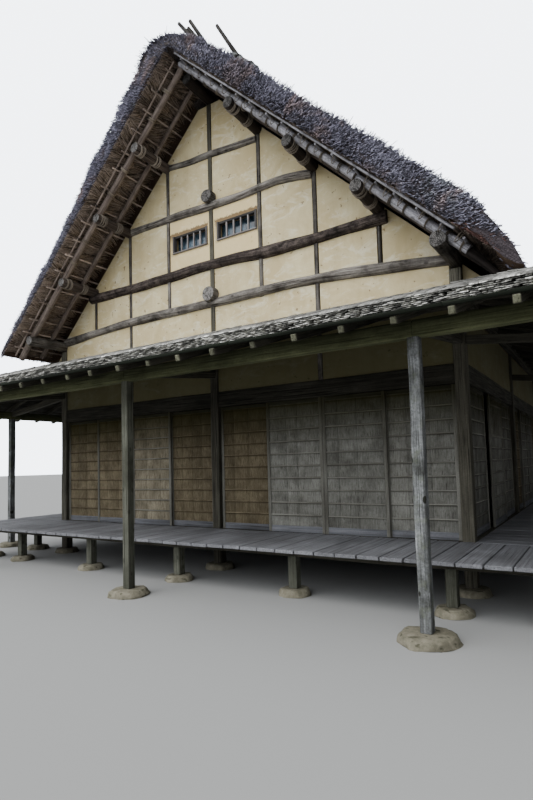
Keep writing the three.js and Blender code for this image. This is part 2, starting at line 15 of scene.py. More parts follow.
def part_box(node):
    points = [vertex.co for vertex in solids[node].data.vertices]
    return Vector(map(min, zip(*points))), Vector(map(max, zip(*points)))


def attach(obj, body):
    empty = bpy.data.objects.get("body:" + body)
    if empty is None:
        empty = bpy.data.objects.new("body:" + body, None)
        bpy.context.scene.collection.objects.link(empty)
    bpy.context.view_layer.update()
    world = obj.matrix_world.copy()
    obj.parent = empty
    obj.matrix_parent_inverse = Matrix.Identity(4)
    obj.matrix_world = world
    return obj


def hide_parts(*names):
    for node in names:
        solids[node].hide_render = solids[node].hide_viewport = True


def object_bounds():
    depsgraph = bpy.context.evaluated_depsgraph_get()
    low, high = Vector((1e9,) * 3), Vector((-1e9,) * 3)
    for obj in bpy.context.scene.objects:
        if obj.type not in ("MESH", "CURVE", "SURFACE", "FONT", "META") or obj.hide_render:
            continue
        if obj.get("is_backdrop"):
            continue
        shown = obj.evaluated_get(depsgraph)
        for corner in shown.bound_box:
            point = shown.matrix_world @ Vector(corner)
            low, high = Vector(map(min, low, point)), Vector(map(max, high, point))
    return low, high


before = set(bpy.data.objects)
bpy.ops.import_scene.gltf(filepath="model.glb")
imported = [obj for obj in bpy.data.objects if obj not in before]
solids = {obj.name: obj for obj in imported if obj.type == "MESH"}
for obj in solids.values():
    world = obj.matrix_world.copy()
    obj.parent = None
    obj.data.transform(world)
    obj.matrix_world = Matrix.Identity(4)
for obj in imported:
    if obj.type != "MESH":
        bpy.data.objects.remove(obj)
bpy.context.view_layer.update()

# %% [markdown]
# ## Where the camera stands
# The picture is taken from eye height near the right corner of the veranda, looking up
# a little. A real lens gives that view once its place, turn and length are known, so
# the camera is set from angles instead of being pushed about by eye. A small upward
# shift keeps the verticals as the picture has them.

# %% Camera
YAW, PITCH_UP, ROLL = (math.radians(a) for a in (32.61, 3.81, -1.60))
EYE, LENS, SHIFT_UP = (5.00, -11.87, 1.56), 23.67, 0.0353
ahead = Vector((-math.sin(YAW) * math.cos(PITCH_UP), math.cos(YAW) * math.cos(PITCH_UP),
                math.sin(PITCH_UP)))
level = Vector((math.cos(YAW), math.sin(YAW), 0))
over = level.cross(ahead)
right = level * math.cos(ROLL) + over * math.sin(ROLL)
up = over * math.cos(ROLL) - level * math.sin(ROLL)

bpy.ops.object.camera_add()
camera = bpy.context.object
camera.name = "camera"
camera.matrix_world = Matrix((right, up, -ahead)).transposed().to_4x4()
camera.location = EYE
camera.data.sensor_width = 36
camera.data.lens = LENS
camera.data.shift_y = SHIFT_UP
camera.data.clip_end = 400
bpy.context.scene.camera = camera
print("lens", camera.data.lens, "mm")

# %% [markdown]
# ## Nodes without clicking
# The sky and every finish are node trees. Written out, each node takes several lines,
# so a small helper adds a node, sets it up and joins it in one call. It also holds the
# few steps that every tree here uses: sums, noise, ranges, and laying one colour over
# another through a mask.

# %% Building node trees
def colour(red, green, blue):
    """A colour as a screen shows it, 0 to 255, turned into light."""
    light = [v / 255 / 12.92 if v <= 10 else ((v / 255 + 0.055) / 1.055) ** 2.4
             for v in (red, green, blue)]
    return (*light, 1)


class Net:
    """Adds nodes to a tree and joins them as they are made."""

    def __init__(self, tree):
        self.tree = tree

    def put(self, value, socket):
        """Joins another node's output to the socket, or sets it to a plain value."""
        if isinstance(value, bpy.types.NodeSocket):
            self.tree.links.new(value, socket)
        else:
            socket.default_value = value

    def node(self, kind, joins=(), **settings):
        made = self.tree.nodes.new(kind)
        for key, value in settings.items():
            setattr(made, key, value)
        for key, value in dict(joins).items():
            self.put(value, made.inputs[key])
        return made

    def sum(self, how, first, second=0.0, third=0.0):
        made = self.node("ShaderNodeMath", {0: first, 1: second, 2: third}, operation=how)
        return made.outputs[0]

    def vector(self, how, first, second, out=0):
        return self.node("ShaderNodeVectorMath", {0: first, 1: second}, operation=how).outputs[out]

    def stretch(self, vector, scale):
        return self.vector("MULTIPLY", vector, scale)

    def split(self, vector):
        return self.node("ShaderNodeSeparateXYZ", {0: vector}).outputs

    def noise(self, vector, scale=1.0, detail=3.0, rough=0.55, twist=0.0):
        joins = {"Vector": vector, "Scale": scale, "Detail": detail, "Roughness": rough,
                 "Distortion": twist}
        return self.node("ShaderNodeTexNoise", joins).outputs["Fac"]

    def between(self, value, low, high, to_low=0.0, to_high=1.0, **settings):
        """Spreads what lies from low to high over another range, and stops at its ends."""
        places = enumerate((value, low, high, to_low, to_high))
        return self.node("ShaderNodeMapRange", places, **settings).outputs[0]

    def blend(self, share, first, second):
        made = self.node("ShaderNodeMix", data_type="RGBA", blend_type="MIX")
        for place, value in ((0, share), (6, first), (7, second)):
            self.put(colour(*value) if isinstance(value, tuple) else value, made.inputs[place])
        return made.outputs[2]

    def cover(self, base, paint, mask, share=1.0):
        """Lays paint over the base where the mask is, as strongly as share says."""
        return self.blend(self.sum("MULTIPLY", mask, share), base, paint)

    def group(self, name, **values):
        return self.node("ShaderNodeGroup", values, node_tree=bpy.data.node_groups[name]).outputs


# %% [markdown]
# ## Light and floor
# The gable is bright and all that lies under the low roof is dark, so the light must
# come from high up, and little of it from the horizon. Area lights would leave hard
# pools on a whole building. So a soft sky that is bright above and dim low down does the
# work, stronger at the front, and the camera sees it as a plain pale backdrop. The floor
# is a plain pale disc, and it's marked as stage, because it isn't the house.

# %% Light and floor
SKY_FRONT, SUN_AIM = (-0.60, -0.78, 0.45), (0.25, 0.75, -1.1)
world = bpy.data.worlds.new("soft_sky")
world.use_nodes = True
net = Net(world.node_tree)
look = net.node("ShaderNodeTexCoord").outputs["Generated"]
facing = net.vector("DOT_PRODUCT", look, Vector(SKY_FRONT).normalized(), "Value")
higher = net.between(net.split(look)[2], 0.04, 0.45, 0.45, 1.7, interpolation_type="SMOOTHSTEP")
nearer = net.between(facing, -0.05, 0.95, 0.15, 2.55, interpolation_type="SMOOTHSTEP")
glow = net.tree.nodes["Background"]
net.put((0.94, 0.97, 1.0, 1), glow.inputs["Color"])
net.put(net.sum("MULTIPLY", higher, nearer), glow.inputs["Strength"])
backdrop = net.node("ShaderNodeBackground", {"Color": (0.87, 0.925, 1.0, 1), "Strength": 6.0})
seen = net.node("ShaderNodeLightPath").outputs["Is Camera Ray"]
either = net.node("ShaderNodeMixShader", {0: seen, 1: glow.outputs[0], 2: backdrop.outputs[0]})
net.put(either.outputs[0], net.tree.nodes["World Output"].inputs["Surface"])
bpy.context.scene.world = world

bpy.ops.object.light_add(type="SUN", location=(-6, -20, 20))
sun = bpy.context.object
sun.name = "broad_sun"
sun.rotation_euler = Vector(SUN_AIM).to_track_quat("-Z", "Y").to_euler()
sun.data.energy = 1.0
sun.data.angle = math.radians(35)
sun.data.color = (1.0, 0.96, 0.9)

bpy.ops.mesh.primitive_circle_add(vertices=96, radius=160, fill_type="NGON")
floor = bpy.context.object
floor.name = "floor_stage"
pale_floor = bpy.data.materials.new("pale_floor")
pale_floor.use_nodes = True
paint = pale_floor.node_tree.nodes["Principled BSDF"]
paint.inputs["Base Color"].default_value = (0.27, 0.27, 0.265, 1)
paint.inputs["Roughness"].default_value = 0.95
floor.data.materials.append(pale_floor)
floor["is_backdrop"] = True

# %% [markdown]
# ## The four sides of the house
# The posts stand on a grid of whole and half bays. The low roof, the veranda and the
# walls repeat on every side, with other lengths. So they are drawn once, on a wall that
# runs along x with its outside towards -y, and turned into place: the front by nothing,
# the right by a quarter turn, and so on.

# %% Bays, sides and slopes
KEN, HALF_KEN = 1.82, 0.91
WALL_X, WALL_Y = 2 * KEN, 3 * KEN
# Quarter turns, how far the wall is from the middle, and half its length
SIDES = {"front": (0, WALL_Y, WALL_X), "right": (1, WALL_X, WALL_Y),
         "back": (2, WALL_Y, WALL_X), "left": (3, WALL_X, WALL_Y)}
GABLES = ("front", "back")
ENDS = ((-1, "front"), (1, "back"))
SLOPES = (("left", -1), ("right", 1))
PITCH, PENT_PITCH = 0.97, 0.33


def turner(side):
    """Moves points drawn on a wall line into that side of the house."""
    quarter, wall, _ = SIDES[side]
    c, s = ((1, 0), (0, 1), (-1, 0), (0, -1))[quarter]
    spin = np.array([[c, s, 0], [-s, c, 0], [0, 0, 1]], float)
    return lambda co: (co - (0, wall, 0)) @ spin


def roof_z(line, x):
    return line - PITCH * abs(x)


def pent_z(out):
    return 3.63 - PENT_PITCH * out


# %% [markdown]
# ## Working by selection
# Each piece starts as a primitive and is shaped in edit mode. An operator works on all
# that is selected, so a small helper selects vertices, edges or faces by their place.
# What repeats is modelled once, taken as a pattern, and copied with its own size, grain
# and tone. Thousands of small objects would be slow, so the copies are gathered in a
# pile that becomes one mesh.

# %% Selecting and shaping
def alone():
    """Nothing stays selected that a tool could change by accident."""
    if bpy.context.object and bpy.context.object.mode == "EDIT":
        bpy.ops.object.mode_set(mode="OBJECT")
    bpy.ops.object.select_all(action="DESELECT")


def only(piece):
    """This piece alone is selected and active."""
    alone()
    piece.select_set(True)
    bpy.context.view_layer.objects.active = piece


def pick(piece, kind, wanted):
    """Selects the vertices, edges or faces whose points pass the test, in edit mode."""
    bpy.ops.object.mode_set(mode="EDIT")
    bpy.ops.mesh.select_mode(type=kind)
    bpy.ops.mesh.select_all(action="DESELECT")
    bpy.ops.object.mode_set(mode="OBJECT")
    mesh = piece.data
    if kind == "VERT":
        for vertex in mesh.vertices:
            vertex.select = bool(wanted([vertex.co]))
    else:
        for item in mesh.edges if kind == "EDGE" else mesh.polygons:
            item.select = bool(wanted([mesh.vertices[i].co for i in item.vertices]))
    bpy.ops.object.mode_set(mode="EDIT")


def take(piece):
    """Keeps a modelled shape as a pattern for copies and removes its object."""
    if piece.mode == "EDIT":
        bpy.ops.object.mode_set(mode="OBJECT")
    mesh = piece.data
    pattern = {
        "co": np.array([v.co for v in mesh.vertices], float),
        "loops": np.array([i for face in mesh.polygons for i in face.vertices]),
        "sizes": np.array([len(face.vertices) for face in mesh.polygons]),
        "is_end": np.array([abs(face.normal.x) > 0.99 and abs(face.center.x) > 0.49
                            for face in mesh.polygons]),
    }
    bpy.data.objects.remove(piece)
    return pattern


def rows_of(x, y, z):
    """Rows of x, y and z, where each may be one number for all rows."""
    return np.stack(np.broadcast_arrays(x, y, z), -1).astype(float)


def unit(rows):
    """Arrows of the same direction, one metre long."""
    return rows / np.linalg.norm(rows, axis=-1, keepdims=True)


# %% A pile of copies
tally = []


def keep(mesh, name, kind, values):
    """Stores one value for each vertex, which finishes can read by its name."""
    made = mesh.attributes.new(name, kind, "POINT")
    made.data.foreach_set("value" if kind == "FLOAT" else "vector",
                          np.asarray(values, np.float32).ravel())


class Pile:
    """Copies of patterns that become one mesh, turned to a side of the house if named."""

    def __init__(self, side=None):
        self.parts = []
        self.turn = turner(side) if side else lambda co: co
        self.half = SIDES[side][2] if side else None

    def add(self, pattern, co, grain=None, tone=1.0, finish=0):
        """Adds copies. Each brings its grain, x along the wood, and its tone."""
        co = self.turn(np.asarray(co, float).reshape(-1, len(pattern["co"]), 3))
        grain = co if grain is None else np.broadcast_to(grain, co.shape)
        tone = np.asarray(tone, float)
        tone = np.broadcast_to(tone if tone.ndim > 1 else tone.reshape(-1, 1), co.shape[:2])
        self.parts.append((pattern, co, grain, tone, finish))

    def piece(self, name, finishes, slot, stands_for, body="root", soft_angle=None):
        """Makes the mesh, with its finishes, and hangs it on the solids that it stands for."""
        loops, sizes, marks, at = [], [], [], 0
        for pattern, co, _, _, finish in self.parts:
            copies, count = co.shape[:2]
            steps = at + count * np.arange(copies)[:, None]
            loops.append((pattern["loops"][None, :] + steps).ravel())
            sizes.append(np.tile(pattern["sizes"], copies))
            marks.append(np.tile(np.broadcast_to(finish, pattern["sizes"].shape), copies))
            at += copies * count
        loops, sizes, marks = (np.concatenate(x) for x in (loops, sizes, marks))
        starts = np.concatenate([[0], np.cumsum(sizes)[:-1]])
        mesh = bpy.data.meshes.new(name)
        mesh.vertices.add(at)
        mesh.loops.add(len(loops))
        mesh.polygons.add(len(sizes))
        flat = lambda index: np.concatenate([part[index].reshape(-1) for part in self.parts])
        mesh.vertices.foreach_set("co", flat(1).astype(np.float32))
        for items, key, values in ((mesh.loops, "vertex_index", loops),
                                   (mesh.polygons, "loop_start", starts),
                                   (mesh.polygons, "material_index", marks)):
            items.foreach_set(key, values.astype(np.int32))
        mesh.update(calc_edges=True)
        keep(mesh, "grain", "FLOAT_VECTOR", flat(2))
        keep(mesh, "tone", "FLOAT", flat(3))
        made = bpy.data.objects.new(name, mesh)
        bpy.context.scene.collection.objects.link(made)
        return finish_piece(made, finishes, stands_for, body, soft_angle)


def finish_piece(made, finishes, stands_for, body="root", soft_angle=None):
    """Gives a piece its finishes and its place in the frame, and counts its triangles."""
    for finish in finishes:
        made.data.materials.append(finish)
    if soft_angle:
        only(made)
        bpy.ops.object.shade_smooth_by_angle(angle=math.radians(soft_angle))
    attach(made, body)
    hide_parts(*stands_for)
    triangles = sum(len(face.vertices) - 2 for face in made.data.polygons)
    tally.append(triangles)
    print(f"{made.name}: {triangles} triangles")
    return made


# %% [markdown]
# ## Grain, weather and end rings
# Old wood shows fine streaks along its length, drying cracks, and patches where rain
# and hands have been. These effects are the same on every timber, so each is a node
# group, built once and used with its own values. They read the grain that every copy
# brings along, with x down its length, so a streak follows a bent log or a leaning post.

# %% Node groups for wood
FLOAT, VECTOR = "NodeSocketFloat", "NodeSocketVector"


def new_group(name, inputs, build):
    """A shared effect: build gets its inputs and gives its outputs, each with a name."""
    tree = bpy.data.node_groups.new(name, "ShaderNodeTree")
    for title, value in inputs.items():
        kind = VECTOR if value is None else FLOAT
        socket = tree.interface.new_socket(title, in_out="INPUT", socket_type=kind)
        if value is not None:
            socket.default_value = value
    net = Net(tree)
    results = build(net, net.node("NodeGroupInput").outputs)
    for title in results:
        tree.interface.new_socket(title, in_out="OUTPUT", socket_type=FLOAT)
    net.node("NodeGroupOutput", results)


def long_grain(net, given):
    spread = net.node("ShaderNodeCombineXYZ",
                      {0: given["Long"], 1: given["Fine"], 2: given["Fine"]})
    lines = net.stretch(given["Grain"], spread.outputs[0])
    streak = net.between(net.noise(lines, 1.0, 6, 0.68, 0.3), 0.36, 0.66)
    wider = net.stretch(lines, (0.8, 1.7, 1.7))
    crack = net.between(net.noise(wider, 1.0, 2, 0.5, 0.5), 0.385, 0.33)
    height = net.sum("SUBTRACT", net.sum("MULTIPLY", streak, 0.4), crack)
    return {"Streak": streak, "Crack": crack, "Height": height}


def weather(net, given):
    patch = net.noise(given["Place"], given["Broad"], 4, 0.6, 0.4)
    fleck = net.noise(given["Place"], 55, 3, 0.6)
    return {"Patch": net.between(patch, 0.36, 0.68), "Fleck": net.between(fleck, 0.35, 0.7)}


def end_rings(net, given):
    across = net.stretch(given["Grain"], (0.0, 1.0, 1.0))
    radius = net.node("ShaderNodeVectorMath", {0: across}, operation="LENGTH").outputs["Value"]
    bent = net.sum("MULTIPLY_ADD", net.noise(across, 14, 2), 0.02, radius)
    wave = net.sum("SINE", net.sum("MULTIPLY", bent, given["Width"]))
    around = net.node("ShaderNodeVectorMath", {0: across}, operation="NORMALIZE").outputs[0]
    split = net.between(net.noise(around, 2.6, 3, 0.6), 0.43, 0.38)
    return {"Ring": net.between(wave, -1, 1), "Split": split}


def knots(net, given):
    cells = net.node("ShaderNodeTexVoronoi", {
        "Vector": net.stretch(given["Grain"], (8.0, 13.0, 13.0)), "Scale": 1.0}).outputs
    chosen = net.between(net.split(cells["Color"])[0], 0.54, 0.58)
    spot = net.between(cells["Distance"], 0.30, 0.17)
    return {"Knot": net.sum("MULTIPLY", chosen, spot)}


new_group("long_grain", {"Grain": None, "Fine": 40.0, "Long": 1.6}, long_grain)
new_group("weather", {"Place": None, "Broad": 1.3}, weather)
new_group("end_rings", {"Grain": None, "Width": 340.0}, end_rings)
new_group("knots", {"Grain": None}, knots)
print("groups:", [group.name for group in bpy.data.node_groups])

# %% [markdown]
# ## One recipe, many woods
# Every timber here is bare and weathered: only its colours, the width of its streaks
# and the depth of its cracks differ. So one recipe makes them all. The tone of a copy
# makes one board darker than its neighbour, as in a real wall. Panel boards also have
# a painted shadow under each batten, and all panels are painted darker near their tops,
# for the shade under the low roof and for smoke.

# %% Wood finishes
# Near-black olive, painted on panels near their tops for the shade under the low roof and smoke
EAVE_SHADE_AND_SOOT = (46, 44, 14)


class Finish(Net):
    """A new material and its node tree."""

    def __init__(self, name):
        self.made = bpy.data.materials.new(name)
        self.made.use_nodes = True
        super().__init__(self.made.node_tree)

    def place(self):
        return self.node("ShaderNodeTexCoord").outputs["Object"]

    def grain_and_tone(self):
        return (self.node("ShaderNodeAttribute", attribute_name="grain").outputs["Vector"],
                self.node("ShaderNodeAttribute", attribute_name="tone").outputs["Fac"])

    def close(self, paint, rough, rise, depth, strength, gloss=None, tone=None):
        """Joins colour, roughness and relief to the shader, and gives the material."""
        inputs = self.tree.nodes["Principled BSDF"].inputs
        if tone is not None:
            paint = self.node("ShaderNodeVectorMath", {0: paint, "Scale": tone},
                              operation="SCALE").outputs[0]
        self.put(paint, inputs["Base Color"])
        self.put(rough, inputs["Roughness"])
        if gloss is not None:
            self.put(gloss, inputs["Specular IOR Level"])
        bump = self.node("ShaderNodeBump", {"Height": rise, "Distance": depth,
                                            "Strength": strength})
        self.put(bump.outputs[0], inputs["Normal"])
        return self.made


def weathered(name, pale, mid, dark, fine=40.0, long=1.6, depth=0.004, rough=0.82, broad=1.3,
              stain=0.55, glow=None, knotty=0.0, rows=None, eave_shade_and_soot=False, fleck=0.22, gloss=0.12):
    """A bare wood: streaks run from pale to mid, and stains and cracks are dark."""
    net = Finish(name)
    place = net.place()
    grain, tone = net.grain_and_tone()
    lines = net.group("long_grain", Grain=grain, Fine=fine, Long=long)
    spots = net.group("weather", Place=place, Broad=broad)
    paint = net.blend(lines["Streak"], mid, pale)
    paint = net.cover(paint, dark, spots["Patch"], stain)
    paint = net.cover(paint, dark, spots["Fleck"], fleck)
    paint = net.cover(paint, dark, lines["Crack"], 0.8)
    if glow:
        paint = net.cover(paint, glow, net.between(net.noise(place, 9, 3, 0.6), 0.52, 0.66), 0.5)
    if knotty:
        paint = net.cover(paint, dark, net.group("knots", Grain=grain)["Knot"], knotty)
    if rows or eave_shade_and_soot:
        height = net.split(place)[2]
    # Painted shadow: a dark strip on the boards just under each batten
    if rows:
        step = net.sum("DIVIDE", net.sum("SUBTRACT", height, rows[0]), rows[1])
        under = net.between(net.sum("FRACT", step), 0.78, 0.95)
        paint = net.cover(paint, dark, net.sum("POWER", under, 2.0), 0.85)
    # Painted shade and soot: darker towards the top, between 1.80 and 2.36 m
    if eave_shade_and_soot:
        paint = net.blend(net.between(height, 1.80, 2.36, 0.0, 0.82), paint, EAVE_SHADE_AND_SOOT)
    roughness = net.between(lines["Streak"], 0, 1, rough + 0.1, rough - 0.08)
    return net.close(paint, roughness, lines["Height"], depth, 0.9, gloss, tone)


log_wood = weathered("weathered_log", (154, 149, 142), (80, 74, 69), (26, 22, 20), fine=42,
                     long=2.0, depth=0.012, stain=0.85, broad=3, knotty=0.6)
purlin_wood = weathered("sooty_purlin", (112, 102, 96), (66, 58, 54), (28, 24, 23), fine=34,
                        depth=0.006)
post_wood = weathered("grey_post", (156, 158, 160), (90, 92, 92), (36, 36, 31), fine=70,
                      long=2.4, depth=0.005, stain=0.8, broad=5, glow=(92, 96, 82),
                      knotty=2.4, fleck=0.5)
mossy_beam = weathered("mossy_beam", (106, 109, 80), (70, 73, 51), (32, 34, 21), fine=42,
                       long=1.4, stain=0.7)
mossy_wood = weathered("mossy_post", (122, 123, 112), (83, 84, 73), (38, 38, 30), fine=50,
                       long=1.4, stain=0.7, knotty=0.5)
beam_wood = weathered("old_beam", (92, 89, 79), (58, 56, 49), (26, 25, 21), fine=42)
deck_wood = weathered("deck_plank", (148, 149, 154), (114, 114, 118), (54, 53, 54), fine=50,
                      long=1.1, depth=0.003, rough=0.7, gloss=0.4)
shingle_wood = weathered("silver_shingle", (214, 213, 208), (140, 138, 132), (42, 41, 37),
                         fine=44, long=3.0, depth=0.002, rough=0.88, stain=0.3)
# Painted shade: a near-black board, for the shade behind the eave's shingle rows
eave_wood = weathered("dark_eave_board_shade", (40, 46, 36), (26, 30, 23), (14, 16, 12), fine=42,
                      depth=0.003)
cane_skin = weathered("old_cane", (196, 195, 202), (134, 132, 138), (52, 48, 48), fine=60,
                      long=2.0, depth=0.001, rough=0.55, stain=0.75, broad=7, fleck=0.5,
                      knotty=0.6, gloss=0.3)
rung_skin = weathered("smoked_cane", (170, 157, 148), (124, 111, 104), (60, 49, 43), fine=60,
                      long=2.0, depth=0.001, stain=0.6, broad=5)

# %% The sawn end of a log
net = Finish("log_end")
grain, tone = net.grain_and_tone()
rings = net.group("end_rings", Grain=grain)
dark = (24, 22, 20)
paint = net.blend(rings["Ring"], (84, 81, 78), (140, 137, 135))
paint = net.cover(paint, dark, rings["Split"], 0.85)
paint = net.cover(paint, dark, net.between(net.noise(grain, 22, 4, 0.7), 0.47, 0.60), 0.7)
rise = net.sum("SUBTRACT", net.sum("MULTIPLY", rings["Ring"], 0.3), rings["Split"])
log_end = net.close(paint, 0.92, rise, 0.003, 0.8, gloss=0.12, tone=tone)
print("woods ready")

# %% [markdown]
# ## Patterns for boards, beams and logs
# A board is a cube with a small bevel, because no real edge is sharp. A beam has rings
# along its length too, so that it can waver as if hewn by hand. A log is a cylinder
# with a bevelled, inset end and many rings. When a pattern is sized, only its middle
# stretches: the bevel keeps its real width, which plain scaling would spoil.

# %% Board and beam patterns
chance = np.random.default_rng(1907)
TURN = 6.3
BEVEL = 0.03
UP, SIDEWAYS = (0, 0, 1), (0, 1, 0)


def along_x(points):
    return abs(points[0].x - points[1].x) > 0.5


def board_pattern(rings=0):
    alone()
    bpy.ops.mesh.primitive_cube_add(size=1)
    piece = bpy.context.object
    pick(piece, "EDGE", lambda points: True)
    bpy.ops.mesh.bevel(offset=BEVEL, segments=1)
    if rings:
        pick(piece, "EDGE", along_x)
        bpy.ops.mesh.subdivide(number_cuts=rings)
    return take(piece)


BOARD = board_pattern()
BEAM = board_pattern(7)
print("a board has", len(BOARD["sizes"]), "faces, a beam", len(BEAM["sizes"]))


def sized(pattern, size, chamfer):
    """The pattern at its real size, with its bevel kept even."""
    co = pattern["co"]
    to_face = 0.5 - np.abs(co)
    edge = np.sign(co) * (np.array(size) / 2 - to_face / BEVEL * chamfer)
    return np.where(to_face < BEVEL * 1.01, edge, co * size)


def axes(start, end, over=UP):
    """Rows that point along, across and up a bar, with its length and middle."""
    start, end = np.array(start, float), np.array(end, float)
    length = np.linalg.norm(end - start)
    along = (end - start) / length
    across = unit(np.cross(over, along))
    return np.array([along, across, np.cross(along, across)]), length, (start + end) / 2


def add_beam(pile, start, end, wide, deep, over=UP, tone=None, waver=0.003, chamfer=0.006,
             finish=0):
    """One squared bar from start to end, hewn a little uneven unless waver is 0."""
    pattern = BEAM if waver else BOARD
    rows, length, middle = axes(start, end, over)
    co = sized(pattern, (length, wide, deep), min(chamfer, wide / 4, deep / 4))
    grain = co + chance.uniform(-9, 9, 3)
    if waver:
        hold = 1 - np.abs(2 * co[:, 0] / length) ** 4
        turns = chance.uniform(0, TURN, 3)
        co[:, 1] += waver * hold * np.sin(co[:, 0] * 2.1 + turns[0])
        co[:, 2] += waver * hold * np.sin(co[:, 0] * 1.7 + turns[1])
        co[:, 1:] *= 1 + waver * 4 * (np.sin(co[:, :1] * 3.3 + turns[2]))
    tone = chance.uniform(0.86, 1.12) if tone is None else tone
    pile.add(pattern, co @ rows + middle, grain, tone, finish)


def level_beam(pile, low, high, y, z, wide, deep, **more):
    """A bar that runs along the wall, at one distance from it and one height."""
    add_beam(pile, (low, y, z), (high, y, z), wide, deep, **more)


# %% Log and rope patterns
CAP = 0.06
ROPE_THICK = 0.1


def lie_down(piece):
    """A primitive that was turned to run along x keeps that turn in its mesh."""
    bpy.ops.object.transform_apply(location=False, rotation=True, scale=False)
    return piece


def log_pattern(sides, rings):
    alone()
    bpy.ops.mesh.primitive_cylinder_add(vertices=sides, radius=1, depth=1,
                                        rotation=(0, math.pi / 2, 0))
    piece = lie_down(bpy.context.object)
    at_end = lambda points: all(abs(abs(p.x) - 0.5) < 1e-4 for p in points)
    pick(piece, "EDGE", at_end)
    bpy.ops.mesh.bevel(offset=CAP, segments=1)
    pick(piece, "FACE", at_end)
    bpy.ops.mesh.inset(thickness=0.35)
    bpy.ops.mesh.inset(thickness=0.35)
    pick(piece, "EDGE", along_x)
    bpy.ops.mesh.subdivide(number_cuts=rings)
    return take(piece)


LOG, POLE, STUB, THIN = (log_pattern(*size) for size in ((12, 30), (8, 24), (12, 4), (6, 8)))
alone()
bpy.ops.mesh.primitive_torus_add(major_segments=14, minor_segments=4, major_radius=1,
                                 minor_radius=ROPE_THICK, rotation=(0, math.pi / 2, 0))
ROPE = take(lie_down(bpy.context.object))


def smooth_path(stops, count=80):
    """A smooth curve that passes through all the stops."""
    stops = np.array(stops, float)
    stops = np.vstack([2 * stops[0] - stops[1], stops, 2 * stops[-1] - stops[-2]])
    spans = len(stops) - 3
    made = []
    for t in np.linspace(0, spans, count):
        i = min(int(t), spans - 1)
        u = t - i
        a, b, c, d = stops[i:i + 4]
        made.append(0.5 * (2 * b + (c - a) * u + (2 * a - 5 * b + 4 * c - d) * u ** 2
                           + (3 * b - a - 3 * c + d) * u ** 3))
    return np.array(made)


def lay_log(pile, stops, radius, pattern=LOG, over=UP, lumps=0.04, knots=None, tone=None,
            finish=0, end_finish=None):
    """A round pattern laid along a path. radius is one value or one for each end."""
    path = smooth_path(stops)
    reach = np.concatenate([[0], np.cumsum(np.linalg.norm(np.diff(path, axis=0), axis=1))])
    total = reach[-1]
    x, y, z = pattern["co"].T
    first, last = (radius, radius) if np.isscalar(radius) else radius
    bevel = 0.12 * min(first, last)
    near_end = np.abs(x) > 0.5 - CAP - 1e-4
    s = np.where(near_end, np.sign(x) * (total / 2 - (0.5 - np.abs(x)) / CAP * bevel),
                 x / (0.5 - CAP) * (total / 2 - bevel)) + total / 2
    s = np.clip(s, 0, total)
    size = first + (last - first) * s / total
    angle = np.arctan2(z, y)
    turns = chance.uniform(0, TURN, 5)
    swell = (np.sin(3.1 * s + turns[0]) + 0.6 * np.sin(7.3 * s + turns[1] + angle)
             + 0.5 * np.sin(2 * angle + 1.9 * s + turns[2])
             + 0.4 * np.sin(3 * angle + turns[3] + 4.2 * s))
    size = size * (1 + lumps * swell)
    if knots:
        size = size * (1 + 0.16 * np.exp(-((((s + turns[4]) % knots) - knots / 2) / 0.022) ** 2))
    follow = lambda rows: np.array([np.interp(s, reach, rows[:, i]) for i in range(3)]).T
    along = unit(follow(np.gradient(path, axis=0)))
    across = unit(np.cross(over, along))
    co = follow(path) + (y * size)[:, None] * across + (z * size)[:, None] * np.cross(along, across)
    grain = rows_of(s + chance.uniform(-50, 50), y * size, z * size)
    tone = chance.uniform(0.88, 1.12) if tone is None else tone
    if end_finish is not None:
        finish = np.where(pattern["is_end"], end_finish, finish)
    pile.add(pattern, co, grain, tone, finish)


def bind(pile, centre, along, radii, thick=0.006, turns=3, finish=0, tone=None, over=UP):
    """A lashing: a few turns of rope round a pole, each a little tilted."""
    rows, _, _ = axes((0, 0, 0), along, over)
    x, y, z = ROPE["co"].T
    angle = np.arctan2(z, y)
    out = (np.hypot(y, z) - 1) / ROPE_THICK * thick
    for step in range(turns):
        shift = (step - (turns - 1) / 2) * thick * 2.1
        tilt = thick * 0.9 * np.sin(angle + chance.uniform(0, TURN))
        local = rows_of(x / ROPE_THICK * thick + shift + tilt, (radii[0] + out) * np.cos(angle),
                        (radii[1] + out) * np.sin(angle))
        pile.add(ROPE, local @ rows + np.array(centre), rows_of(angle * radii[0], local[:, 0], out),
                 chance.uniform(0.75, 1.15) if tone is None else tone, finish)


print("logs", len(LOG["sizes"]), "poles", len(POLE["sizes"]), "rope", len(ROPE["sizes"]))

# %% [markdown]
# ## Foundation stones
# Every post stands on a low natural stone. A stone is a subdivided cube pushed in and
# out by a cloud texture, flattened where the post stands. Three different stones,
# turned at random, are enough that no one sees them repeat.

# %% Stone patterns and finish
STONE_Z = 0.08


def stone_pattern(seed):
    alone()
    bpy.ops.mesh.primitive_cube_add(size=2)
    piece = bpy.context.object
    pick(piece, "EDGE", lambda points: True)
    bpy.ops.mesh.subdivide(number_cuts=7, smoothness=1.0)
    bpy.ops.object.mode_set(mode="OBJECT")
    cloud = bpy.data.textures.new("stone_cloud", "CLOUDS")
    cloud.noise_scale = 0.8
    bulge = piece.modifiers.new("bulge", "DISPLACE")
    bulge.texture = cloud
    bulge.strength = 0.5
    bulge.texture_coords = "LOCAL"
    away = Vector((seed * 3.7, seed, 0))
    piece.data.transform(Matrix.Translation(away))
    bpy.ops.object.modifier_apply(modifier="bulge")
    piece.data.transform(Matrix.Translation(-away))
    return take(piece)


STONES = [stone_pattern(seed) for seed in range(3)]


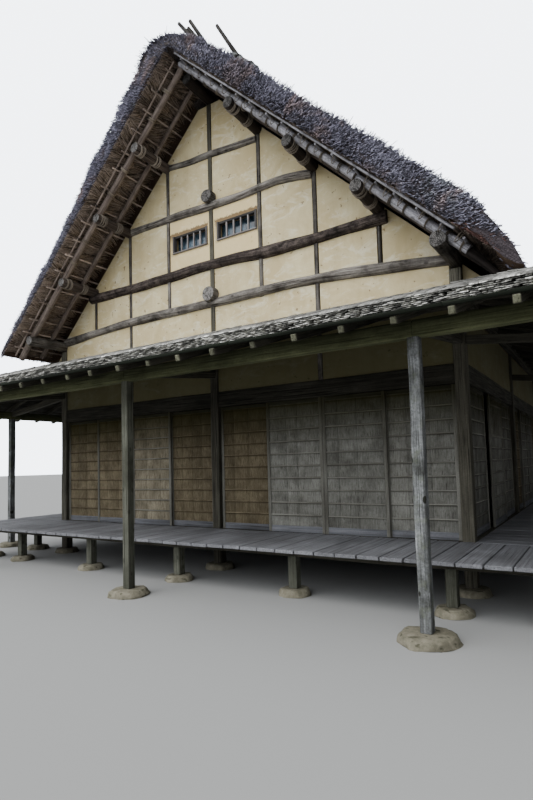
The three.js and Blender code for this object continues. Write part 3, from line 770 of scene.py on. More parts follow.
def add_stone(pile, x, y, reach, finish=1):
    """A rounded stone whose flat top meets the post's foot."""
    pattern = STONES[int(chance.integers(3))]
    a, b, c = (pattern["co"] / np.linalg.norm(pattern["co"], axis=1).mean()).T
    spin = chance.uniform(0, TURN)
    flat = rows_of(a * math.cos(spin) - b * math.sin(spin),
                   a * math.sin(spin) + b * math.cos(spin), c)
    edge = np.hypot(flat[:, 0], flat[:, 1])
    flat[:, :2] *= reach * chance.uniform(0.98, 1.1, 2)
    high = np.clip(c * 1.6, -1, 1)
    ripple = 0.004 * np.sin(17 * flat[:, 0]) * (edge > 0.5)
    flat[:, 2] = np.clip(np.where(high > 0, high * STONE_Z, high * 0.004) + ripple, 0, STONE_Z)
    flat[:, :2] += (x, y)
    pile.add(pattern, flat, None, chance.uniform(0.85, 1.1), finish)


stone_finish = weathered("field_stone", (146, 140, 124), (110, 106, 92), (66, 66, 52), fine=9,
                         long=9, depth=0.006, rough=0.9, broad=4, stain=0.4)

# %% [markdown]
# ## Wall posts, sills and lintels
# The corner posts and the posts between the sliding panels are squared by hand, so
# they waver by a few millimetres. They are beams stood on end, darker than the posts
# that stand out in the rain. Where they rise past the low roof, sun has bleached them.

# %% Wall posts of the long sides
POST, POST_TOP, LINTEL_Z = 0.14, 3.80, 2.555
BAY_BEAM = WALL_X - POST / 2
LONG_POSTS = (-WALL_Y, -KEN, KEN, WALL_Y)


def pairs(stops):
    return zip(stops, stops[1:])


def upright(pile, u, out, low, high, side=POST, **more):
    add_beam(pile, (u, -out, low), (u, -out, high), side, side, over=SIDEWAYS, **more)


for side in ("right", "left"):
    pile = Pile(side)
    for u in LONG_POSTS:
        bleached = np.where(BEAM["co"][None, :, 0] > 0.4, 2.2, 1.0)
        corner = 1.3 if abs(u) == WALL_Y else 1.0
        upright(pile, u, 0, STONE_Z, POST_TOP, waver=0.004, tone=bleached * corner)
        add_stone(pile, u, 0, 0.21)
    for start, end in pairs(LONG_POSTS):
        level_beam(pile, start, end, 0, LINTEL_Z, 0.12, 0.23, waver=0.004, tone=0.6)
    pile.piece(f"{side}_wall_timbers", [beam_wood, stone_finish], "timber",
               [f"{side}_wall_frame"], soft_angle=35)

# %% Centre posts and lintels of the gables
for side in GABLES:
    pile = Pile(side)
    upright(pile, 0, 0, STONE_Z, 3.10, waver=0.004)
    add_beam(pile, (0, 0.005, 3.08), (0, 0.005, 7.31), 0.125, 0.078, over=(1, 0, 0),
             waver=0.004, tone=1.35)
    add_stone(pile, 0, 0, 0.21)
    pile.piece(f"{side}_middle_post", [beam_wood, stone_finish], "timber",
               [f"{side}_centre_post"], soft_angle=35)
    pile = Pile(side)
    for start, end in ((-BAY_BEAM, -POST / 2), (POST / 2, BAY_BEAM)):
        level_beam(pile, start, end, 0.02, LINTEL_Z, 0.158, 0.228, tone=0.5)
    pile.piece(f"{side}_lintel_beam", [beam_wood], "timber", [f"{side}_lintel"], soft_angle=35)

# %% [markdown]
# ## Bent logs and studs of the gable
# Trees were used as they grew, so the cross logs bend and swell, and thin studs fill
# in between. Each log is laid along a smooth path through points measured on the real
# one; a straight beam here would lose the whole character of the wall.

# %% Gable logs and studs
dark_log = weathered("dark_log", (132, 119, 112), (62, 54, 51), (16, 14, 13), fine=30,
                     long=1.5, depth=0.018, stain=0.85, broad=7, fleck=0.5, knotty=0.6)
# Radius, tone, finish, and the path from left to right
GABLE_LOGS = [
    (0.074, 1.4, 0, [(-3.60, 3.97), (-1.95, 4.07), (0, 4.08), (1.80, 4.07), (3.60, 3.925)]),
    (0.086, 0.9, 1, [(-2.85, 4.68), (-1.40, 4.665), (0, 4.69), (1.40, 4.64), (2.85, 4.66)]),
    (0.066, 1.3, 0, [(-1.80, 5.67), (-0.90, 5.665), (0, 5.64), (0.55, 5.63), (1.30, 5.65),
                     (1.80, 5.575)]),
    (0.054, 1.1, 0, [(-0.89, 6.545), (-0.45, 6.50), (0, 6.48), (0.89, 6.415)]),
]
# How far out the studs are, where they start, and how wide they are
STUDS = ((HALF_KEN, 4.02, 0.062), (KEN, 2.67, 0.062), (3 * HALF_KEN, 4.02, 0.036))
for side in GABLES:
    pile = Pile(side)
    for radius, tone, finish, path in GABLE_LOGS:
        lay_log(pile, [(x, -0.035, z) for x, z in path], radius, lumps=0.07, tone=tone,
                finish=finish)
    for x, foot, wide in STUDS:
        for u in (-x, x):
            add_beam(pile, (u, -0.02, foot), (u, -0.02, roof_z(7.38, x)), 0.07, wide,
                     over=(1, 0, 0), waver=0.006, chamfer=0.009,
                     tone=0.55 if wide < 0.05 else chance.uniform(0.75, 1.3))
    pile.piece(f"{side}_gable_logs", [log_wood, dark_log], "log", [f"{side}_gable_frame"],
               soft_angle=40)

# %% [markdown]
# ## Purlins, ties and their ropes
# Purlins carry the rafters and poke out past the gable, where pairs of straw ropes
# bind the barge poles to them. Their ends show saw marks and rings. A lashing is a few
# tilted rings of a thin torus, which costs little and reads as rope at any distance.

# %% Rope finish, purlins and tie logs
rope_fibre = weathered("straw_rope", (186, 176, 162), (140, 128, 114), (60, 50, 44), fine=120,
                       long=60, depth=0.002)
wire_dark = weathered("dark_lashing", (74, 68, 64), (50, 45, 42), (26, 23, 22), fine=120,
                      long=60, depth=0.001)

PURLIN_LINE, PURLIN_END, RIDGE_END = 7.43, 6.25, 6.04
ROPE_SPOTS = (6.16, 6.09, 5.82, 5.76)
# How far from the ridge, height, radius and tone
# The ridge purlin's low tone is painted shade, for the dark hollow under the ridge
PURLINS = {"ridge_purlin": (0.0, 7.416, 0.086, 0.3)}
for step in (1, 2, 3):
    for name, sign in SLOPES:
        x = HALF_KEN * step * sign
        # Painted light and shade: the left purlins are lighter and the right ones darker, for how
        # light falls on them
        tone = 1.15 if x < 0 else 0.5 if x < 2.5 else 0.72
        PURLINS[f"purlin_{name}_{step}"] = (x, roof_z(PURLIN_LINE, x), 0.077, tone)

for name, (x, z, radius, tone) in PURLINS.items():
    pile = Pile()
    bow = chance.uniform(-0.012, 0.012, 4)
    reach = PURLIN_END if x else RIDGE_END
    path = [(x + bow[0] * (i % 2), y, z - abs(bow[1]) * (i % 2))
            for i, y in enumerate((-reach, -4, 0, 4, reach))]
    lay_log(pile, path, (radius * 1.03, radius), lumps=0.03, tone=tone, end_finish=2)
    for end in (-1, 1):
        for y in ROPE_SPOTS if x else ():
            bind(pile, (x, end * y, z), (0, 1, 0), (radius * 1.08, radius * 1.1), 0.011,
                 turns=2, finish=1)
    pile.piece(f"{name}_log", [purlin_wood, rope_fibre, log_end], "log", [name], soft_angle=40)

for name, z, radius, tone in (("tie_log_lower", 4.2, 0.118, 1.25),
                              ("tie_log_upper", 5.76, 0.100, 0.72)):
    pile = Pile()
    lay_log(pile, [(0, -5.628, z), (0.01, 0, z - 0.01), (0, 5.628, z)], radius, lumps=0.05,
            end_finish=1, tone=tone)
    pile.piece(f"{name}_round", [log_wood, log_end], "log", [name], soft_angle=40)

# %% [markdown]
# ## Rafters, barge poles and battens
# Under the straw lie smoked poles from eave to ridge, and thin canes across them that
# the straw is sewn to. The outermost pole and a thinner cane beside it frame the gable,
# tied with straw rope, and short rope ties join the two on the right. They are poles
# with knots, laid straight down the slope. The left side has darker, smokier canes
# nearer the eye, the right side shows more ties.

# %% Poles of one slope
WOODS = [purlin_wood, cane_skin, rope_fibre, wire_dark, log_wood, log_end, rung_skin]
PLAIN, CANE, TIES, DARK_TIES, ROUND, SAWN, SMOKED = range(7)
RAFTER_LINE, BARGE_LINE, BARGE_Y, MIDDLE_Y = 7.604, 7.56, 6.14, 5.75
for side, sign in SLOPES:
    left = sign < 0
    cane = SMOKED if left else CANE
    pile = Pile()

    def on_slope(x, y, line):
        return (sign * x, y, roof_z(line, x))

    def pole(path, radius, pattern=POLE, **more):
        lay_log(pile, [on_slope(*stop) for stop in path], radius, pattern, over=SIDEWAYS, **more)

    def tie(centre, radii, thick, **more):
        slope = np.array(on_slope(1, 0, 0)) - np.array(on_slope(0, 0, 0))
        bind(pile, on_slope(*centre), slope, radii, thick, finish=TIES, over=SIDEWAYS, **more)

    for y in (HALF_KEN * step for step in range(-5, 6)):
        pole([(4.12, y, RAFTER_LINE), (0.04, y, RAFTER_LINE)], (0.045, 0.036), THIN)
    for end in (-1, 1):
        foot = 4.05 if left else 3.93
        pole([(foot, end * BARGE_Y, BARGE_LINE - 0.01), (2.2, end * (BARGE_Y + 0.005), BARGE_LINE),
              (0.0, end * (BARGE_Y + 0.03 * sign), BARGE_LINE)], (0.056, 0.046), lumps=0.02,
             knots=0.42,
             finish=cane, tone=1.12 if left else 1.2)
        if not left:
            pole([(4.30, end * 6.10, 7.47), (4.1, end * 6.11, 7.52), (3.86, end * 6.12, 7.545)],
                 (0.038, 0.056), LOG, lumps=0.16, tone=0.25)
        pole([(4.0, end * MIDDLE_Y, 7.58), (2.0, end * (MIDDLE_Y + 0.01), 7.575),
              (0.04, end * MIDDLE_Y, 7.58)],
             (0.046, 0.036), lumps=0.05, finish=SMOKED if left else PLAIN,
             tone=1.05 if left else 1.2)
        at, line = (6.24, 7.636) if left else (6.362, 7.64)
        pole([(4.08 if left else 3.84, end * at, line), (2.1, end * at, line + 0.004),
              (0.06, end * at, line)], (0.017, 0.014), lumps=0.02, knots=0.3,
             finish=cane, tone=1.7 if left else 1.2)
        for x in np.arange(0.3, foot, 0.32 if left else 0.20):
            wide = x + chance.uniform(-0.03, 0.03)
            tie((wide, end * (BARGE_Y + 0.002), BARGE_LINE - 0.004), (0.060, 0.060), 0.008,
                turns=3 if left else 2, tone=None if left else chance.uniform(0.4, 0.62))
            if not left:
                tie((wide, end * 6.29, 7.622), (0.085, 0.036), 0.006, turns=1, tone=0.62)
    for step, x in enumerate(np.arange(0.16, 4.14, 0.235)):
        wide = x + chance.uniform(-0.02, 0.02)
        size = chance.uniform(0.013, 0.017)
        reach = 6.34 + chance.uniform(-0.03, 0.03)
        path = [on_slope(wide, -reach, 7.606), on_slope(wide + 0.01, 0, 7.645),
                on_slope(wide + chance.uniform(-0.02, 0.02), reach, 7.606)]
        # Painted light: on the left the canes are lighter, more so towards the eave, for the light
        # that reaches them
        lay_log(pile, path, size, THIN, lumps=0.05, finish=cane,
                tone=chance.uniform(0.8, 1.1) * (1.35 + min(x, 2.5) / 2.5 if left else 1.1))
        for end in (-1, 1) if step % 2 else ():
            bind(pile, on_slope(wide, end * 6.25, 7.636), (0, 1, 0.001), (0.03, 0.026), 0.004,
                 finish=DARK_TIES)
            tie((wide, end * MIDDLE_Y, 7.60), (0.05, 0.05), 0.005, turns=2)
    eave = [on_slope(x, y, line) for x, y, line in (
        (3.64, -6.26, PURLIN_LINE), (3.65, -2, PURLIN_LINE - 0.005), (3.63, 2, PURLIN_LINE),
        (3.64, 6.26, PURLIN_LINE))]
    lay_log(pile, eave, (0.088, 0.084), lumps=0.07, finish=ROUND,
            tone=1.15 if left else 0.7, end_finish=SAWN)
    pile.piece(f"{side}_rafter_poles", WOODS, "bamboo", [f"rafters_{side}"], soft_angle=40)

# %% [markdown]
# ## The low roof's posts and beams
# Slender squared posts on stones carry a beam all round the house, and a tie runs back
# from it to each wall post. The posts stand in the weather, so they are the palest
# wood of the house. Some are mossy, greener and darker towards the foot.

# %% Outer posts, beams and ties
PENT_POST, PENT_TOP, PENT_BEAM_Z = KEN, 2.64, 2.706
GABLE_POSTS = (-3 * KEN, -2 * KEN, 0, 2 * KEN, 3 * KEN)

for side in (*GABLES, "right", "left"):
    pile = Pile(side)
    gable = side in GABLES
    posts = GABLE_POSTS if gable else LONG_POSTS
    for u in posts:
        mossy = u in (-2 * KEN, 0) if side == "front" else chance.uniform() < 0.5
        damp = 0.9 + 0.42 * BEAM["co"][None, :, 0] if mossy else 1.0
        upright(pile, u, PENT_POST, STONE_Z, PENT_TOP, side=0.104, waver=0.004,
                finish=3 if mossy else 1, tone=chance.uniform(0.95, 1.1) * damp)
        add_stone(pile, u, -PENT_POST, 0.25, finish=2)
    ends = pile.half + PENT_POST + (0.09 if gable else -0.06)
    # Painted light and shade: the outer beam's underside is lighter, as lit, and the rest darker,
    # as shaded
    painted_lit_underside = np.where(BEAM["co"][None, :, 2] < -0.3, 1.5, 0.48)
    for start, end in pairs([-ends, *posts[1:-1], ends]):
        level_beam(pile, start, end, -PENT_POST, PENT_BEAM_Z, 0.108, 0.152, finish=4,
                   tone=painted_lit_underside)
    for u in posts[1:-1] if gable else posts:
        add_beam(pile, (u, -0.07, 2.94), (u, -PENT_POST, 2.729), 0.078, 0.1)
    for sign in (-1, 1) if gable else ():
        reach = [(sign * (WALL_X + out), -out, pent_z(out) - 0.196) for out in (0.2, 2.39)]
        add_beam(pile, *reach, 0.098, 0.083, waver=0.002)
    pile.piece(f"{side}_outer_posts",
               [beam_wood, post_wood, stone_finish, mossy_wood, mossy_beam], "timber",
               [f"pent_frame_{side}"], soft_angle=35)

# %% [markdown]
# ## Rafters and boards under the low roof
# From below one sees square rafters every half bay and the wide boards on them. Their
# ends are pale where the sun reaches. The roof narrows to the hips, so each board is
# as long as the roof is at its distance from the wall.

# %% Under the low roof
rafter_tip = weathered("rafter_tip", (158, 158, 136), (112, 112, 92), (60, 60, 46), depth=0.002)
PENT_EAVE, PENT_THICK, RAFTER_WIDE, RAFTER_DEEP = 2.45, 0.14, 0.060, 0.072
RAFTER_STEP = HALF_KEN / 2
down, lift = np.array([[0, -1, -PENT_PITCH], [0, -PENT_PITCH, 1]]) / math.hypot(1, PENT_PITCH)

for side in SIDES:
    pile = Pile(side)
    half = pile.half
    drop = PENT_THICK + RAFTER_DEEP / 2
    steps = int((half + PENT_EAVE - 0.055) / RAFTER_STEP)
    for u in (step * RAFTER_STEP for step in range(-steps, steps + 1)):
        near = max(0.15, abs(u) - half + 0.17)
        if near > 2.2:
            continue
        lean = chance.uniform(-0.008, 0.008)
        far = PENT_EAVE - 0.075 + chance.uniform(-0.02, 0.015)
        under = lambda x, out: (x, -out, pent_z(out) - drop)
        add_beam(pile, under(u, near), under(u + lean, far), RAFTER_WIDE, RAFTER_DEEP,
                 waver=0.002, tone=chance.uniform(0.7, 0.95))
        add_beam(pile, under(u + lean, far - 0.03), under(u + lean, far + 0.012),
                 RAFTER_WIDE - 0.008, RAFTER_DEEP - 0.010, waver=0,
                 tone=chance.uniform(0.28, 0.82), finish=1)
    for row, out in enumerate(np.arange(0.17, 2.38, 0.21)):
        reach = half + out - 0.03
        inner = np.arange(-reach + 1.2 + 0.7 * (row % 3), reach - 0.6, 2.6)
        for start, end in pairs([-reach, *inner, reach]):
            level_beam(pile, start, end, -out, pent_z(out) - PENT_THICK + 0.012, 0.206, 0.022,
                       over=lift, waver=0, tone=chance.uniform(0.35, 0.6), chamfer=0.003)
    level_beam(pile, 0.01 - half, half - 0.01, -0.12, pent_z(0.17) - PENT_THICK - 0.06,
               0.095, 0.125)
    pile.piece(f"{side}_roof_rafters", [beam_wood, rafter_tip], "timber",
               [f"pent_roof_{side}"], soft_angle=30)

# %% [markdown]
# ## Shingles
# The low roof is laid with thin split shingles. Along the eave they lie in several
# layers, whose broken silver ends show as ragged rows over a near-black board, painted
# as the shade behind them. A whole shingle is a cube split along its length, thinner and
# frayed at its foot, and the hips are covered with these. On the slopes and along the eave
# lie worn ones, whose upper edge has weathered back. Thousands of copies differ in width,
# length, tilt and tone.

# %% Shingle patterns
def shingle_pattern(worn=False):
    alone()
    bpy.ops.mesh.primitive_cube_add(size=1)
    piece = bpy.context.object
    if worn:
        pick(piece, "VERT", lambda points: points[0].x > 0.4 and points[0].z > 0.4)
        bpy.ops.transform.translate(value=(-0.17, 0, 0))
        return take(piece)
    pick(piece, "EDGE", lambda points: abs(points[0].y - points[1].y) > 0.5)
    bpy.ops.mesh.subdivide(number_cuts=1)
    pick(piece, "VERT", lambda points: points[0].x > 0.4)
    bpy.ops.transform.resize(value=(1, 0.94, 0.7))
    pick(piece, "VERT", lambda points: points[0].x > 0.4 and abs(points[0].y) < 0.3)
    bpy.ops.transform.translate(value=(-0.04, 0, 0))
    return take(piece)


SHINGLE, CHIP = shingle_pattern(), shingle_pattern(worn=True)


def add_shingles(pile, u, out, height, wide, long, thick, tone, lean=0.0, skew=0.0,
                 pattern=CHIP):
    """Many shingles at once. out is where each one's lower end lies, from the wall."""
    count = len(u)
    co = pattern["co"]
    yaw = skew + chance.normal(0, 0.025, count)[:, None]
    tilt = chance.normal(lean, 0.012, count)[:, None]
    local = co[None] * rows_of(np.broadcast_to(long, count), wide, thick)[:, None]
    ragged = (co[None, :, 0] > 0.3) * chance.normal(0, 0.12, (count, len(co)))
    local[:, :, 0] += long * (0.35 * ragged - 0.5)
    grain = local + chance.uniform(-9, 9, (count, 1, 3))
    x, y, z = np.moveaxis(local, 2, 0)
    aside = y * np.cos(yaw) + x * np.sin(yaw)
    forward = x * np.cos(yaw) - y * np.sin(yaw)
    risen = z + tilt * x + np.broadcast_to(height, count)[:, None]
    placed = rows_of(u, -out, pent_z(out))[:, None] + aside[:, :, None] * np.array([1, 0, 0]) \
        + forward[:, :, None] * down + risen[:, :, None] * lift
    placed[:, :, 1] = np.maximum(placed[:, :, 1], 0.003 - PENT_EAVE)
    hip = pile.half - placed[:, :, 1] - 0.004
    placed[:, :, 0] = np.clip(placed[:, :, 0], -hip, hip)
    pile.add(pattern, placed, grain, tone)


# %% Shingles of one side
EAVE_LAYERS, LAYER_STEP = 7, 0.0145


def chances(count):
    """Even, bell-shaped and long-tailed chance for a number of copies at once."""
    return (lambda low, high: chance.uniform(low, high, count),
            lambda middle, spread: chance.normal(middle, spread, count),
            lambda scale: chance.exponential(scale, count))


for side in SIDES:
    pile = Pile(side)
    half = pile.half
    for out in np.arange(0.22, 2.44, 0.17):
        reach = half + out - 0.06
        count = int(2 * (half + out) / 0.092)
        even, bell, _ = chances(count)
        u = np.linspace(-reach, reach, count) + even(-0.01, 0.01)
        add_shingles(pile, u, out + bell(0, 0.008), -0.006, even(0.075, 0.105), 0.30,
                     even(0.010, 0.016), even(0.35, 0.95), lean=-0.03)
    for layer in range(EAVE_LAYERS):
        reach = half + PENT_EAVE - 0.07
        count = int(2 * reach / 0.043)
        even, bell, _ = chances(count)
        u = np.linspace(-reach, reach, count) + even(-0.015, 0.015)
        out = PENT_EAVE - 0.025 - 0.003 * layer + np.clip(bell(0, 0.012), -0.04, 0.02)
        tone = np.where(even(0, 1) < 0.66, 2.5, 0.8) * even(0.75, 1.1)
        add_shingles(pile, u, out, -0.008 - LAYER_STEP * layer + bell(0, 0.0015),
                     even(0.026, 0.060), 0.14, even(0.005, 0.009), tone)
    reach = half + PENT_EAVE - 0.035
    edge = PENT_EAVE - 0.085
    # Behind the layers lies the near-black board, as painted shade
    for start, end in pairs(np.linspace(-reach, reach, 7)):
        level_beam(pile, start, end, -edge, pent_z(edge) - 0.118, 0.075, 0.036, over=lift,
                   waver=0.002, finish=1, tone=0.8)
    for out in np.arange(0.2, 2.35, 0.2):
        reach = half + out - 0.02
        level_beam(pile, -reach, reach, -out, pent_z(out) - 0.055, 0.205, 0.05, over=lift,
                   waver=0, finish=1, tone=0.4)
    out = np.arange(0.26, 2.38, 0.12)
    even, _, _ = chances(len(out))
    for sign in (-1, 1):
        add_shingles(pile, sign * (half + out - 0.09), out, 0.008, even(0.12, 0.15), 0.26, 0.012,
                     even(0.6, 1.0), lean=-0.05, skew=sign * 0.75, pattern=SHINGLE)
    pile.piece(f"{side}_roof_shingles", [shingle_wood, eave_wood], "shingle",
               [f"pent_roof_{side}"])

# %% [markdown]
# ## The veranda
# Wide planks run out from the wall over a beam on short posts. Their ends are never
# quite in line, and the gaps between them stay dark. The planks are grey and a little
# shiny from feet.

# %% Veranda planks
DECK, PLANK, PLANK_Z, JOIST_Z, JOIST_POST_TOP = 1.365, 0.245, 0.58, 0.505, 0.46
for side in SIDES:
    pile = Pile(side)
    gable = side in GABLES
    reach = pile.half + (DECK if gable else POST / 2)
    count = int(round(2 * reach / PLANK))
    wide = 2 * reach / count
    for step in range(count):
        u = -reach + (step + 0.5) * wide
        end = DECK - abs(chance.normal(0, 0.004))
        z = PLANK_Z + chance.normal(0, 0.0012)
        add_beam(pile, (u, -0.072, z), (u + chance.normal(0, 0.002), -end, z), wide - 0.014, 0.038,
                 waver=0, chamfer=0.004, tone=chance.uniform(0.78, 1.0))
    last = 5 if gable else 6
    posts = [step * HALF_KEN for step in (-last, -4, -2, 0, 2, 4, last)]
    beam_end = min(reach, posts[-1] + 0.1)
    for start, end in pairs(np.linspace(-beam_end, beam_end, 4)):
        level_beam(pile, start, end, -HALF_KEN, JOIST_Z, 0.09, 0.108, finish=1)
    for u in posts:
        upright(pile, u, HALF_KEN, STONE_Z, JOIST_POST_TOP, side=0.112, finish=2,
                tone=chance.uniform(0.8, 1.1))
        add_stone(pile, u, -HALF_KEN, 0.19, finish=3)
    pile.piece(f"{side}_veranda_planks", [deck_wood, beam_wood, mossy_wood, stone_finish], "deck",
               [f"veranda_{side}"], soft_angle=35)

# %% [markdown]
# ## Sliding panels
# A panel is a frame of two stiles and two rails round upright boards, held by thin
# battens every 17 cm. The bottom rail is a paler, newer board. The boards are of
# unlike width and colour, and that is what makes the wall look old. Each door rides on
# its own body of the frame, so it takes its boards and battens along when it slides.

# %% Panel finishes
BATTEN_FOOT, BATTEN_STEP = 0.836, 0.1705


# Panel boards get a painted shadow under each batten, and painted shade with smoke near their tops
def panel_board(name, pale, mid, dark):
    return weathered(name, pale, mid, dark, fine=85, long=9.0, depth=0.0015, broad=3.5,
                     rows=(BATTEN_FOOT, BATTEN_STEP), eave_shade_and_soot=True)


# Battens too are painted darker near their tops, for the shade under the low roof and smoke
batten_wood = weathered("panel_batten", (142, 141, 134), (108, 106, 98), (60, 57, 50), fine=52,
                        depth=0.001, eave_shade_and_soot=True)
pale_rail = weathered("pale_rail", (138, 139, 145), (104, 105, 110), (64, 63, 64), fine=44,
                      depth=0.001)
PANEL_FINISHES = [batten_wood,
                  panel_board("panel_board", (144, 144, 138), (115, 114, 107), (52, 49, 43)),
                  panel_board("warm_board", (132, 122, 100), (103, 93, 73), (54, 46, 34)),
                  pale_rail,
                  panel_board("pale_board", (158, 150, 130), (124, 116, 98), (60, 53, 42))]
BATTEN, GREY, WARM, RAIL, PALE, SILL = range(6)
PANEL_TOP, PANEL_FOOT, STILE = 2.435, 0.6, 0.045


# %% Modelling a panel
def add_panel(pile, low, high, track, barred=False, boards=GREY, shade=1.0, rise=0.0):
    """One panel between low and high on its track, with its outer face towards -y."""
    face = track - 0.015
    left, right = low + STILE, high - STILE

    def bar(x0, z0, x1, z1, wide, thick, y, finish=BATTEN, tone=None):
        add_beam(pile, (x0, y, z0), (x1, y, z1), wide, thick, over=(0, -1, 0), waver=0,
                 chamfer=0.002, finish=finish, tone=tone)

    for x in (low + STILE / 2, high - STILE / 2):
        bar(x, PANEL_FOOT + 0.002, x, PANEL_TOP, STILE, 0.03, track,
            tone=chance.uniform(0.88, 1.1))
    rail, foot_rail = PANEL_TOP - 0.025 + rise, PANEL_FOOT + 0.045
    # Painted shade: the top rail is darker, as the shadow under the lintel
    bar(left, rail, right, rail, 0.05, 0.028, track, tone=0.5)
    bar(left, foot_rail, right, foot_rail, 0.088, 0.028, track, RAIL,
        tone=chance.uniform(0.85, 1.0) * (1 if boards == GREY else 0.8))
    top = 1.86 if barred else PANEL_TOP - 0.045
    edges = [left - 0.004]
    while edges[-1] < right - 0.16:
        edges.append(edges[-1] + chance.uniform(0.17, 0.33))
    edges[-1] = right + 0.004
    for x0, x1 in pairs(edges):
        middle = (x0 + x1) / 2
        bar(middle, PANEL_FOOT + 0.08, middle, PANEL_TOP - 0.04, x1 - x0 - 0.002, 0.012,
            track + 0.003, boards, shade * chance.uniform(0.84, 1.08))
    for z in (BATTEN_FOOT + BATTEN_STEP * step for step in range(9)):
        if z < top:
            bar(left - 0.002, z + chance.normal(0, 0.003), right + 0.002,
                z + chance.normal(0, 0.003), 0.016, 0.014, face + 0.006,
                WARM if boards == WARM else BATTEN, chance.uniform(1.15, 1.45))
    if barred:
        bar(left, top, right, top, 0.045, 0.028, track)
        bar(left, 2.30, right, 2.30, 0.03, 0.024, track)
        for x in np.linspace(left + 0.05, right - 0.05, 9):
            bar(x, top, x, PANEL_TOP - 0.04, 0.03, 0.012, face + 0.008,
                tone=chance.uniform(1.0, 1.25))


# %% Doors that slide
TRACK_FRONT, TRACK_BACK = -0.035, 0.005
FRONT_BOARDS = {"left": ((WARM, 1.0), (PALE, 1.2), (WARM, 1.2), (WARM, 1.2)),
                "right": ((WARM, 1.0), (GREY, 1.15), (GREY, 1.15), (GREY, 1.15))}
for side, _ in SLOPES:
    for index, (boards, shade) in enumerate(FRONT_BOARDS[side], 1):
        name = f"front_door_{side}_{index}"
        low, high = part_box(name)
        pile = Pile("front")
        add_panel(pile, low.x, high.x, (low.y + high.y) / 2 + WALL_Y, boards=boards, shade=shade)
        pile.piece(f"{name}_panel", PANEL_FINISHES, "door_panel", [name], body=name)

low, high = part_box("right_door")
pile = Pile("right")
add_panel(pile, low.y, high.y, -((low.x + high.x) / 2 - WALL_X), barred=True)
pile.piece("right_door_panel", PANEL_FINISHES, "door_panel", ["right_door"], body="right_door")

# %% Panels that stay, and the sills
# Where the panels of a bay start and end, and which of the two tracks they stand on
BAY = [(0.0703, 0.965, TRACK_BACK - 0.011), (0.93, 1.8195, TRACK_FRONT),
       (1.80, 2.71, TRACK_FRONT), (2.675, 3.5697, TRACK_BACK - 0.011)]
SILL_Z = 0.54


def add_sill(pile, start, end, **more):
    """The beam under a bay's panels, and the thin strip behind it."""
    level_beam(pile, start, end, 0.0, SILL_Z, 0.138, 0.118, waver=0.002, **more)
    level_beam(pile, start + 0.03, end - 0.03, 0.085, SILL_Z, 0.03, 0.11, waver=0, **more)


for side, bays, extra in (("back", (-2 * KEN, 0), ()), ("left", (-3 * KEN, -KEN, KEN), ()),
                          ("right", (-KEN, KEN), ((0.0703, 1.24), (2.40, 3.5697)))):
    pile = Pile(side)
    for start in bays:
        for low, high, track in BAY:
            # Painted shade: the right wall's panels are darker, for the shade on that side of the
            # house
            add_panel(pile, start + low, start + high, track, rise=0.008,
                      boards=WARM if chance.uniform() < 0.3 else GREY,
                      shade=0.75 if side == "right" else 1.0)
    for low, high in extra:
        # Painted shade on the right wall's extra panels too
        add_panel(pile, low - WALL_Y, high - WALL_Y, TRACK_BACK, rise=0.008, shade=0.85)
    for start, end in pairs((-2 * KEN, 0, 2 * KEN) if side == "back" else LONG_POSTS):
        add_sill(pile, start + POST / 2, end - POST / 2, finish=SILL)
    pile.piece(f"{side}_wall_panels", [*PANEL_FINISHES, beam_wood], "door_panel",
               [f"{side}_panels"])

pile = Pile("front")
for start, end in ((-BAY_BEAM, -POST / 2), (POST / 2, BAY_BEAM)):
    add_sill(pile, start, end)
pile.piece("front_sill_beam", [beam_wood], "timber", ["front_sill"], soft_angle=35)

# %% [markdown]
# ## Plaster and the small windows
# Clay plaster is never one colour: straw and lime make pale clouds, rain draws soft
# streaks, and small pits show where bits fell out. A paler mended patch lies round the
# windows, chipped along their frames, and the band under the low roof is painted dark,
# for the shade and soot there. The solid's shape is right, so it keeps its mesh and
# only gets this finish. The windows are slots with wooden bars.

# %% Plaster finish
WINDOW_Z, WINDOW_X, WINDOW_HALF = 5.2, 0.48, 0.385
net = Finish("clay_plaster")
place = net.place()
aside, height = net.sum("ABSOLUTE", net.split(place)[0]), net.split(place)[2]
distance = lambda value, middle: net.sum("ABSOLUTE", net.sum("SUBTRACT", value, middle))
clouds = net.between(net.noise(place, 2.2, 5, 0.62, 0.6), 0.38, 0.66)
brushed = net.stretch(place, (2.6, 2.6, 5.0))
pale_clouds = net.between(net.noise(brushed, 1.0, 6, 0.68, 1.2), 0.52, 0.66)
runs = net.between(net.noise(net.stretch(place, (9, 9, 1.1)), 1.0, 4, 0.6, 0.3), 0.5, 0.75)
grit = net.noise(place, 90, 4, 0.7)
pits = net.between(net.noise(place, 13, 2, 0.5), 0.30, 0.27)
# Painted shade and soot: the plaster darkens below 3.62 m, under the low roof
under_roof_shade_and_soot = net.between(height, 3.62, 3.30)
mended = net.sum("MAXIMUM", net.sum("SUBTRACT", distance(height, 5.17), 0.42),
                 net.sum("SUBTRACT", aside, HALF_KEN))
frame_gap = net.sum("MAXIMUM", net.sum("SUBTRACT", distance(height, WINDOW_Z), 0.165),
                    net.sum("SUBTRACT", distance(aside, WINDOW_X), WINDOW_HALF))
frame_gap = net.sum("MULTIPLY_ADD", net.noise(place, 24, 5, 0.8), -0.15, frame_gap)
chipped = net.sum("MULTIPLY", net.between(frame_gap, -0.042, -0.055),
                  net.between(height, 5.24, 5.36, 0.3, 1.0))
paint = net.blend(clouds, (192, 176, 136), (212, 200, 162))
